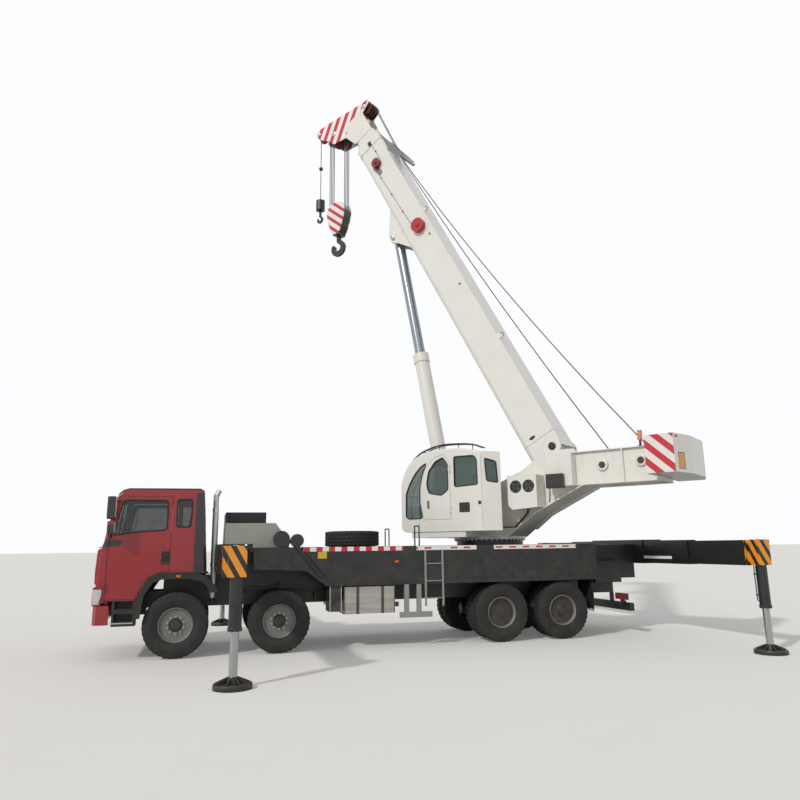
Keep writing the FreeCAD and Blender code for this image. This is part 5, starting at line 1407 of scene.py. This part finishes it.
# Carrier details
tankTrim = {"x": (-3.96, -2.98), "y": (0.70, 1.20), "z": (0.64, 1.13), "straps": (-3.72, -3.24)}
lockers = ((-2.76, -3.56, 1.19), (-3.59, -4.48, 1.19), (-5.02, -6.38, 1.24), (-6.42, -8.20, 1.24))


def carrierDetails():
    t = tankTrim
    bm = bmesh.new()
    for x in t["straps"]:
        addBlock(bm, (x - 0.028, x + 0.028), (t["y"][0] - 0.004, t["y"][1] + 0.005),
                 (t["z"][0] - 0.005, t["z"][1] + 0.005))
        addRod(bm, (x, t["y"][1] + 0.008, 0.84), (x, t["y"][1] + 0.008, 0.93), 0.007, 8)
    for x in (t["x"][0] + 0.012, t["x"][1] - 0.012):
        addTube(bm, [(x, y, z) for y,
                     z in roundedOutline([(0.70, 0.64), (1.20, 0.64), (1.20, 1.13), (0.70, 1.13)], 0.04)],
                0.008, 8, closed=True)
    addLathe(bm, (-3.10, 1.02, 1.128), (0, 0, 1),
             [(0, 0.055), (0.02, 0.055), (0.02, 0.062), (0.045, 0.062), (0.05, 0.05), (0.05, 0.0)], 24)
    onTruck("tank_straps_and_cap", bm, tankStrap, "alu_sheet", 0.002)
    bm = bmesh.new()
    for x in (-2.925, -2.715):
        addBlock(bm, (x - 0.007, x + 0.007), (1.1995, 1.206), (0.69, 1.14))
        addBlock(bm, (x - 0.007, x + 0.007), (0.80, 1.206), (1.1395, 1.146))
    addLathe(bm, (-2.82, 1.09, 1.139), (0, 0, 1), [(0, 0.05), (0.03, 0.05), (0.034, 0.042), (0.034, 0.0)],
             24)
    onTruck("side_tank_edges", bm, brightStrap, "alu_sheet", 0.001)
    bm = bmesh.new()
    for z in (1.56, 2.54):
        addLathe(bm, (-0.60, 0.88, z), (0, 0, 1), [(0, 0.0545), (0.0, 0.060), (0.04, 0.060), (0.04, 0.0545)],
                 32)
    for k in range(11):
        for j in range(5):
            angle = math.radians(-20 + 35 * j)
            spot = Vector((-0.60 + 0.0535 * math.sin(angle), 0.88 + 0.0535 * math.cos(angle),
                           1.68 + 0.08 * k))
            outward = Vector((math.sin(angle), math.cos(angle), 0))
            addLathe(bm, spot - outward * 0.002, outward,
                     [(0, 0.010), (0.0035, 0.010), (0.0035, 0.006), (0.001, 0.005), (0.001, 0.0)], 10)
    onTruck("stack_guard", bm, brightStrap, "alu_sheet")
    bm = bmesh.new()
    for side in (-1, 1):
        addBlock(bm, (-9.0455, -9.0405), (side * 0.785, side * 0.905), (0.712, 0.828))
        addBlock(bm, (-9.0455, -9.0405), (side * 1.06, side * 1.175), (0.712, 0.828))
    onTruck("tail_lamp_red", bm, redLens, "glass", 0.001)
    bm = bmesh.new()
    for side in (-1, 1):
        addBlock(bm, (-9.0455, -9.0405), (side * 0.915, side * 1.05), (0.712, 0.828))
    onTruck("tail_lamp_amber", bm, amberLens, "glass", 0.001)
    bm = bmesh.new()
    for side in (-1, 1):
        for k in range(12):
            x = -2.80 - k * 0.49
            addLathe(bm, (x, side * 1.2495, 1.70), (0, side, 0),
                     [(0, 0.014), (0.004, 0.014), (0.008, 0.008), (0.0085, 0.0)], 12)
        for left, right, low in lockers:
            middle = (left + right) / 2
            catch = ((-0.06, 1.250), (-0.055, 1.262), (0.055, 1.262), (0.06, 1.250))
            addTube(bm, smoothLine([(middle + d, side * y, low + 0.30) for d, y in catch], 3), 0.006, 8)
    onTruck("locker_catches", bm, blackTrim, "steel")
    bm = bmesh.new()
    for side in (-1, 1):
        for left, right, low in lockers:
            corners = [(left - 0.03, low + 0.03), (right + 0.03, low + 0.03), (right + 0.03, 1.73),
                       (left - 0.03, 1.73)]
            frameLine = roundedOutline(corners, 0.03)
            addTube(bm, [(x, side * 1.2495, z) for x, z in frameLine], 0.006, 6, closed=True)
    onTruck("locker_seams", bm, gasketRubber, "dark_plastic")
    bm = bmesh.new()
    bolt = [(0, 0.020), (0.004, 0.020), (0.004, 0.015), (0.024, 0.015), (0.024, 0.009), (0.034, 0.009),
            (0.034, 0.0)]
    addRing(bm, (0, 0, 1.9852), 0.752, 44, (0, 0, -1), bolt)
    onUpper("slewing_ring_bolts", bm, nutMetal, "steel")
    bm = bmesh.new()
    teeth = 11
    for side in (-1, 1):
        y0, y1 = 0.66, 1.23
        for k in range(teeth):
            y = y0 + (y1 - y0) * (k + 0.5) / teeth
            outline = [(side * (y - 0.017), 0.562), (side * (y + 0.017), 0.562), (side * (y + 0.004), 0.50),
                       (side * (y - 0.004), 0.50)]
            addPrism(bm, outline, "x", -8.1858, -8.1802)
    onTruck("flap_teeth", bm, darkPlastic, "dark_plastic")


carrierDetails()
outriggerSizes = {
    "tubeLow": 0.75, "top": 1.90, "ribs": 8,
    "rib": [(0.058, 0.069), (0.25, 0.069), (0.25, 0.078), (0.085, 0.15), (0.058, 0.15)],
}


def outriggerDetails():
    o = outriggerSizes
    for end in ("front", "rear"):
        for sideName, side in bothSides:
            name = "outrigger_%s_%s" % (end, sideName)
            low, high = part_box(name + "_foot")
            x = (truckFrame.inverted() @ ((low + high) / 2)).x
            y = side * crane["jackAcross"]
            foot = bmesh.new()
            for k in range(o["ribs"]):
                turn = placed((x, y, 0), 360 * (k + 0.5) / o["ribs"], "Z")
                for v in addPrism(foot, o["rib"], "y", -0.006, 0.006):
                    v.co = turn @ v.co
            addLathe(foot, (x, y, 0.069), (0, 0, 1),
                     [(0, 0.10), (0.006, 0.10), (0.05, 0.082), (0.085, 0.078), (0.09, 0.061)], 40)
            addLathe(foot, (x, y, 0.0005), (0, 0, 1),
                     [(0, 0.262), (0.012, 0.2675), (0.056, 0.2675), (0.069, 0.262), (0.0705, 0.25)], 64)
            piece(name + ".foot_ribs", foot, blackTrim, name + "_foot", truckFrame, "black_paint")
            jack = bmesh.new()
            addLathe(jack, (x, y, o["tubeLow"] - 0.002), (0, 0, 1),
                     [(0, 0.063), (0, 0.098), (0.004, 0.101), (0.05, 0.101), (0.056, 0.0925)], 40)
            bolt = [(0, 0.009), (0.010, 0.009), (0.010, 0.005), (0.006, 0.0)]
            addRing(jack, (x, y, o["tubeLow"] - 0.001), 0.082, 6, (0, 0, -1), bolt)
            pipe = ((0.05, 0.108, 1.452), (0.052, 0.112, 1.30), (0.052, 0.108, 1.0), (0.05, 0.105, 0.88),
                    (0.035, 0.085, 0.85))
            addTube(jack, smoothLine([(x + a, y - side * b, z) for a, b, z in pipe], 5), 0.009, 8)
            for z in (0.95, 1.30):
                addBlock(jack, (x + 0.036, x + 0.068), (y - side * 0.085, y - side * 0.118), (z, z + 0.022))
            plate, nuts = ([(x + p * a, y + q * b) for p, q in ((-1, -1), (1, -1), (1, 1), (-1, 1))]
                           for a, b in ((0.10, 0.09), (0.085, 0.075)))
            addPrism(jack, roundedOutline(plate, 0.02), "z", o["top"] - 0.0005, o["top"] + 0.004)
            addNutsFlat(jack, nuts, o["top"] + 0.003)
            piece(name + ".jack_fittings", jack, blackTrim, name + "_inner_beam", truckFrame, "black_paint")


def addNutsFlat(bm, spots, z, size=0.011, height=0.009):
    for x, y in spots:
        addLathe(bm, (x, y, z), (0, 0, 1),
                 [(0, size), (height, size), (height, size * 0.5), (height + 0.004, 0.0)], 6)


outriggerDetails()
print("carrier details made")

# Upper structure: winding on the drums, hub bolts, fans, gaskets and trim
winchSizes = {"drum": 0.19, "rope": 0.011, "half": 0.298}


def winchDetails():
    w = winchSizes
    for number, (a, z) in enumerate(crane["winches"]):
        rope = bmesh.new()
        profile = []
        turns = int(2 * w["half"] / (2 * w["rope"]))
        for k in range(turns * 4 + 1):
            t = k / 4
            profile.append((t * 2 * w["rope"],
                            w["drum"] + w["rope"] * (0.6 + 0.85 * abs(math.sin(math.pi * t)))))
        addLathe(rope, (a, -w["half"], z), (0, 1, 0), profile, 56)
        onUpper("winch_%d.winding" % (number + 1), rope, wireRope, "steel", angle=50)
        caps = bmesh.new()
        for side in (-1, 1):
            face = side * 0.4525
            addLathe(caps, (a, face, z), (0, side, 0),
                     [(0, 0.113), (0.010, 0.110), (0.014, 0.098), (0.014, 0.064), (0.004, 0.060),
                      (0.004, 0.0)], 40)
            bolt = [(0, 0.010), (0.008, 0.010), (0.008, 0.005), (0.010, 0.0)]
            addRing(caps, (a, face + side * 0.013, z), 0.085, 8, (0, side, 0), bolt)
        onUpper("winch_%d.hub_caps" % (number + 1), caps, whiteTrim, "white_paint")


winchDetails()


def addLoop(bm, outline, place, radius=0.012, corner=0.05, sides=8):
    # A rubber frame along an outline; place turns a flat point into one on the crane
    addTube(bm, [place(p, q) for p, q in roundedOutline(outline, corner)], radius, sides, closed=True)


operatorTrim = {
    "door": [(0.205, 3.01), (0.205, 3.54), (0.32, 3.70), (0.52, 3.62), (0.69, 3.42), (0.745, 3.15),
             (0.69, 2.96), (0.38, 2.90)],
    "side": [(0.045, 3.06), (0.045, 3.69), (-0.43, 3.68), (-0.50, 3.60), (-0.51, 3.08)],
    "nose": [(0.862, 2.44), (0.893, 2.59), (0.93, 2.76), (0.924, 3.105), (0.855, 3.37), (0.79, 3.50),
             (0.74, 3.61), (0.887, 3.547), (1.06, 3.38), (1.20, 3.17), (1.29, 2.97), (1.30, 2.48),
             (1.216, 2.43)], "rear": [(0.079, 3.608), (0.311, 3.538), (0.336, 3.108), (0.107, 3.148)],
    "front": [(1.290, 2.15), (1.375, 2.18), (1.430, 2.27), (1.475, 2.56), (1.490, 2.83), (1.480, 2.99),
              (1.450, 3.14), (1.405, 3.30), (1.340, 3.45), (1.255, 3.58), (1.150, 3.68), (1.020, 3.76)],
    "face": 1.32, "screen": (0.53, 1.19), "screenZ": (2.42, 3.70),
    "railLine": ((1.18, 3.72), (0.93, 3.88), (0.48, 3.985), (0.0, 3.975), (-0.34, 3.93), (-0.56, 3.85)),
    "rails": (1.18, 1.045), "railRadii": (0.017, 0.012),
}


def noseAlong(z):
    # Where the operator cab's curved nose stands at a height
    line = operatorTrim["front"]
    for (a, low), (c, high) in zip(line, line[1:]):
        if low <= z <= high:
            return a + (c - a) * (z - low) / (high - low)
    return line[-1][0]


def operatorDetails():
    t = operatorTrim
    door = bmesh.new()
    addLoop(door, t["door"], lambda p, q: (p, t["face"] + 0.001, q))
    piece("operator_door_gasket", door, gasketRubber, "operator_door", upperFrame, "dark_plastic")
    bm = bmesh.new()
    addLoop(bm, t["side"], lambda p, q: (p, t["face"] + 0.001, q))
    addLoop(bm, t["nose"], lambda p, q: (p, t["face"] + 0.001, q))
    addLoop(bm, t["rear"], lambda p,
            q: (-0.6 - 0.761 * p - 0.649 * 0.001, t["face"] - 0.649 * p + 0.761 * 0.001, q), 0.012, 0.04)
    low, high = t["screen"]
    heights = [t["screenZ"][0] + (t["screenZ"][1] - t["screenZ"][0]) * k / 12 for k in range(13)]
    loop = [(noseAlong(z) + 0.002, low, z) for z in heights] + [(noseAlong(z) + 0.002, high, z)
                                                                for z in reversed(heights)]
    addTube(bm, loop, 0.013, 8, closed=True)
    addTube(bm, [(noseAlong(2.95) + 0.004, y, 2.95) for y in (low, (low + high) / 2, high)], 0.010, 8)
    onUpper("operator_gaskets", bm, gasketRubber, "dark_plastic")
    bm = bmesh.new()
    outline = roundedOutline([(-0.06, 2.53), (-0.31, 2.53), (-0.31, 2.73), (-0.06, 2.73)], 0.012)
    addPrism(bm, outline, "y", t["face"] - 0.001, t["face"] + 0.003)
    addTube(bm, smoothLine([(noseAlong(2.50) + 0.02, 0.86, 2.50), (noseAlong(2.85) + 0.03, 0.80, 2.85),
                            (noseAlong(3.2) + 0.026, 0.72, 3.2)], 5), 0.006, 6)
    addTube(bm, smoothLine([(noseAlong(2.95) + 0.014, 0.80, 2.95), (noseAlong(3.2) + 0.016, 0.72, 3.2),
                            (noseAlong(3.45) + 0.016, 0.64, 3.45)], 5), 0.008, 6)
    addLathe(bm, (noseAlong(2.49), 0.86, 2.49), (1, 0, -0.1), [(0, 0.024), (0.02, 0.024), (0.028, 0.0)], 16)
    onUpper("operator_plate_and_wiper", bm, blackTrim, "dark_plastic", 0.001)
    bm = bmesh.new()
    for line in ([(-0.60, t["face"] + 0.0005, z) for z in (2.2, 2.8, 3.4, 3.72)],
                 [(0.95, t["face"] + 0.0005, z) for z in (2.16, 2.30, 2.42)]):
        addTube(bm, line, 0.003, 6)
    for a, z in ((-0.40, 2.26), (-0.10, 2.26), (0.20, 2.26), (0.50, 2.26), (0.80, 2.26), (1.10, 2.26),
                 (-0.55, 2.9), (-0.55, 2.5)):
        addLathe(bm, (a, t["face"] - 0.001, z), (0, 1, 0),
                 [(0, 0.009), (0.004, 0.009), (0.006, 0.005), (0.006, 0.0)], 6)
    onUpper("operator_seams_and_screws", bm, nutMetal, "steel")
    bm = bmesh.new()  # the roof rail's sleeve, the second rail inside it and the rungs between them
    for y, radius in zip(t["rails"], t["railRadii"]):
        addTube(bm, smoothLine([(a, y, z) for a, z in t["railLine"]], 4), radius, 8)
    for a, z in t["railLine"]:
        addTube(bm, [(a, t["rails"][0], z), (a, t["rails"][1], z)], t["railRadii"][1], 6)
    onUpper("roof_rails", bm, blackTrim, "dark_plastic")
    bm = bmesh.new()
    ribs = [(0.012 * k + step, 0.0485 - 0.0025 * (k % 2)) for k in range(12) for step in (0.0, 0.006)]
    addLathe(bm, (-3.575, 0.442, 3.790), (0, 0, 1), ribs + [(0.156, 0.0475), (0.172, 0.036), (0.1815, 0.0)],
             32)
    onUpper("beacon_lens", bm, amberLens, "glass")
    bm = bmesh.new()
    for along in crane["fans"]:
        for radius in (0.045, 0.075, 0.105, 0.128):
            ring = [(along + p, 0.801, crane["fanHeight"] + q) for p, q in around(32, radius)]
            addTube(bm, ring, 0.003, 6, closed=True)
        for p, q in around(4, 1.0, math.radians(45)):
            addTube(bm, [(along + r * p, 0.801, crane["fanHeight"] + r * q) for r in (0.02, 0.135)], 0.004,
                    6)
    onUpper("fan_guards", bm, rimGrey, "dark_plastic")
    bm = bmesh.new()
    a, y, z = crane["boomPin"]
    for side in (-1, 1):
        addLathe(bm, (a, side * 0.4215, z), (0, side, 0),
                 [(0, 0.082), (0.012, 0.082), (0.016, 0.07), (0.016, 0.0)], 40)
        bolt = [(0, 0.012), (0.010, 0.012), (0.010, 0.006), (0.012, 0.0)]
        addRing(bm, (a, side * 0.437, z), 0.055, 8, (0, side, 0), bolt)
    onUpper("boom_pin_covers", bm, blackTrim, "black_paint")


operatorDetails()
print("upper structure details made")

# Boom: hose reels, cable, clamps, sheaves
reelSizes = {"face": 0.3395, "radii": (0.18, 0.13), "depths": (0.042, 0.055)}


def boomDetails():
    reels = bmesh.new()
    face = reelSizes["face"]
    for (s, off), radius, depth in zip(crane["reels"], reelSizes["radii"], reelSizes["depths"]):
        addLathe(reels, (s, face, off), (0, 1, 0), [
            (0, radius), (0.008, radius), (0.008, radius * 0.84), (depth - 0.012, radius * 0.84),
            (depth - 0.012, radius), (depth + 0.002, radius), (depth + 0.003, radius * 0.42)], 48)
        knob = [(0, radius * 0.16), (0.0025, radius * 0.15), (0.0025, 0.0)]
        addRing(reels, (s, face + depth + 0.001, off), radius * 0.62, 6, (0, 1, 0), knob, 20)
    onBoom("hose_reels", reels, painted("reelRed", palette["reel"], 0.32, 0.0, high=3.0, coat=0.3),
           "red_paint")
    dark = bmesh.new()
    addLathe(dark, (9.365, 0.3955, -0.255), (0, 1, 0),
             [(0, 0.055), (0.018, 0.05), (0.024, 0.036), (0.024, 0.0)], 28)
    addLathe(dark, (6.76, 0.3855, -0.115), (0, 1, 0),
             [(0, 0.05), (0.012, 0.046), (0.016, 0.03), (0.016, 0.0)], 28)
    addTube(dark, smoothLine([(9.42, 0.352, -0.13), (9.75, 0.347, -0.12), (10.02, 0.347, -0.14),
                              (10.09, 0.350, -0.16)], 5), 0.006, 6)
    addTube(dark, smoothLine([(9.27, 0.352, -0.35), (8.9, 0.347, -0.36), (8.2, 0.346, -0.33),
                              (7.1, 0.346, -0.28), (6.85, 0.35, -0.26)], 5), 0.006, 6)
    for s, off in ((9.75, -0.12), (8.9, -0.36), (8.2, -0.33), (7.5, -0.30)):
        addBlock(dark, (s - 0.015, s + 0.015), (0.3395, 0.357), (off - 0.018, off + 0.018))
    addBlock(dark, (10.03, 10.17), (0.3395, 0.372), (-0.21, -0.11))
    onBoom("reel_hubs_and_cable", dark, blackTrim, "dark_plastic", 0.002)
    pale = bmesh.new()
    eye = ((-0.05, 0.20), (-0.05, 0.27), (0, 0.30), (0.05, 0.27), (0.05, 0.20))
    for s in (2.87, 7.10):
        addTube(pale, smoothLine([(s + d, 0.275, o) for d, o in eye], 4), 0.010, 8)
    for s, off in crane["boltHoles"]:
        addLathe(pale, (s, 0.3385, off), (0, 1, 0), [(0, 0.032), (0.004, 0.032), (0.004, 0.022), (0, 0.022)],
                 20)
    outline = roundedOutline([(9.42, -0.42), (9.30, -0.44), (8.98, -0.36), (9.02, -0.24), (9.26, -0.26)],
                             0.03)
    addPrism(pale, outline, "y", 0.3395, 0.346)
    onBoom("boom_fittings", pale, painted("fittingGrey", palette["plate"], 0.4, 0.0, high=3.0, metallic=0.3),
           "steel", 0.001)
    roller = bmesh.new()
    addLathe(roller, (9.03, -0.268, 0.415), (0, 1, 0),
             [(0, 0.041), (0.0, 0.052), (0.012, 0.052), (0.016, 0.042), (0.52, 0.042), (0.524, 0.052),
              (0.536, 0.052), (0.536, 0.041)], 28)
    onBoom("rope_roller", roller, nutMetal, "steel")
    sheaves = bmesh.new()
    s0 = 10.25 + 0.44 + 0.91
    for b in (-0.09, -0.03, 0.03, 0.09):
        addLathe(sheaves, (s0, b - 0.026, -0.98), (0, 1, 0),
                 [(0, 0.05), (0, 0.300), (0.008, 0.302), (0.020, 0.272), (0.032, 0.272), (0.044, 0.302),
                  (0.052, 0.300), (0.052, 0.05)], 56)
    for b in (-0.15, -0.05, 0.05, 0.15):
        addLathe(sheaves, (s0 - 0.16, b - 0.022, 0.215), (0, 1, 0),
                 [(0, 0.04), (0, 0.198), (0.006, 0.1995), (0.016, 0.191), (0.028, 0.191), (0.038, 0.1995),
                  (0.044, 0.198), (0.044, 0.04)], 56)
    addLathe(sheaves, (s0 + 0.46, -0.034, -1.40), (0, 1, 0),
             [(0, 0.03), (0, 0.160), (0.008, 0.162), (0.024, 0.141), (0.044, 0.141), (0.060, 0.162),
              (0.068, 0.160), (0.068, 0.03)], 44)
    piece("head_sheaves", sheaves,
          painted("sheaveRed", fromBytes(96, 34, 32), 0.4, 0.0, high=3.0, metallic=0.3), "boom_head_section",
          boomFrame, "steel")
    nuts = bmesh.new()
    for side in (-1, 1):
        for s, off, radius in ((s0, -0.98, 0.075), (s0 + 0.46, -1.40, 0.05), (s0 - 0.16, 0.215, 0.06)):
            addLathe(nuts, (s, side * 0.2545, off), (0, side, 0),
                     [(0, radius), (0.01, radius), (0.016, radius * 0.8), (0.016, 0.0)], 28)
    piece("head_pins", nuts, nutMetal, "boom_head_section", boomFrame, "steel")
    pins = bmesh.new()
    for side in (-1, 1):
        addLathe(pins, (7.16, side * 0.2995, -0.915), (0, side, 0),
                 [(0, 0.06), (0.012, 0.06), (0.016, 0.05), (0.016, 0.0)], 28)
    onBoom("lift_pin_ends", pins, nutMetal, "steel")


boomDetails()


# Hoist ropes, from the top of each drum over the roller on the boom to the head's top sheaves
hoist = {
    "radius": 0.011, "roller": (9.03, 0.31), "sheave": (11.44, 0.419), "split": 0.5,
    "ends": (10.2, 10.31, 10.42, 10.53, 10.64),
    "starts": (((-2.984, 3.470), 0.05, 0.09), ((-3.728, 3.510), -0.05, 0.17)),
}


def ropeSpan(name, points, body, second=None):
    bm = bmesh.new()
    addTube(bm, points, hoist["radius"], 8)
    made = piece(name, bm, wireRope, None if second else body, None, "steel", angle=80)
    if second:
        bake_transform(made)


def hoistRopes():
    h = hoist
    for number, ((a, z), b, sag) in enumerate(h["starts"]):
        label = "hoist_rope_%d" % (number + 1)
        start = boomFrame.inverted() @ (upperFrame @ Vector((a, b, z)))
        end = Vector((h["roller"][0], b, h["roller"][1]))

        def point(s):
            t = (s - start.x) / (end.x - start.x)
            off = start.z + (end.z - start.z) * t - 4 * sag * t * (1 - t)
            return boomFrame @ Vector((s, b, off))
        ropeSpan(label + ".at_winch", [boomFrame @ start, point(h["split"])], "turntable", "boom_base")
        spots = [point(h["split"] + (end.x - h["split"]) * k / 14) for k in range(15)]
        slope = (h["sheave"][1] - h["roller"][1]) / (h["sheave"][0] - h["roller"][0])
        ends = [boomFrame @ Vector((s, b, h["roller"][1] + (s - end.x) * slope)) for s in h["ends"]]
        ropeSpan(label + ".on_boom", spots + [ends[0]], "boom_base")
        bodies = ["boom_base", "boom_section_2", "boom_section_3", "boom_section_4", "boom_head_section"]
        for k in range(4):
            ropeSpan(label + ".span_%d" % (k + 1), [ends[k], ends[k + 1]], bodies[k], bodies[k + 1])
        ropeSpan(label + ".at_head", [ends[4], boomFrame @ Vector((h["sheave"][0], b, h["sheave"][1]))],
                 "boom_head_section")


hoistRopes()
print("boom details and hoist ropes made")
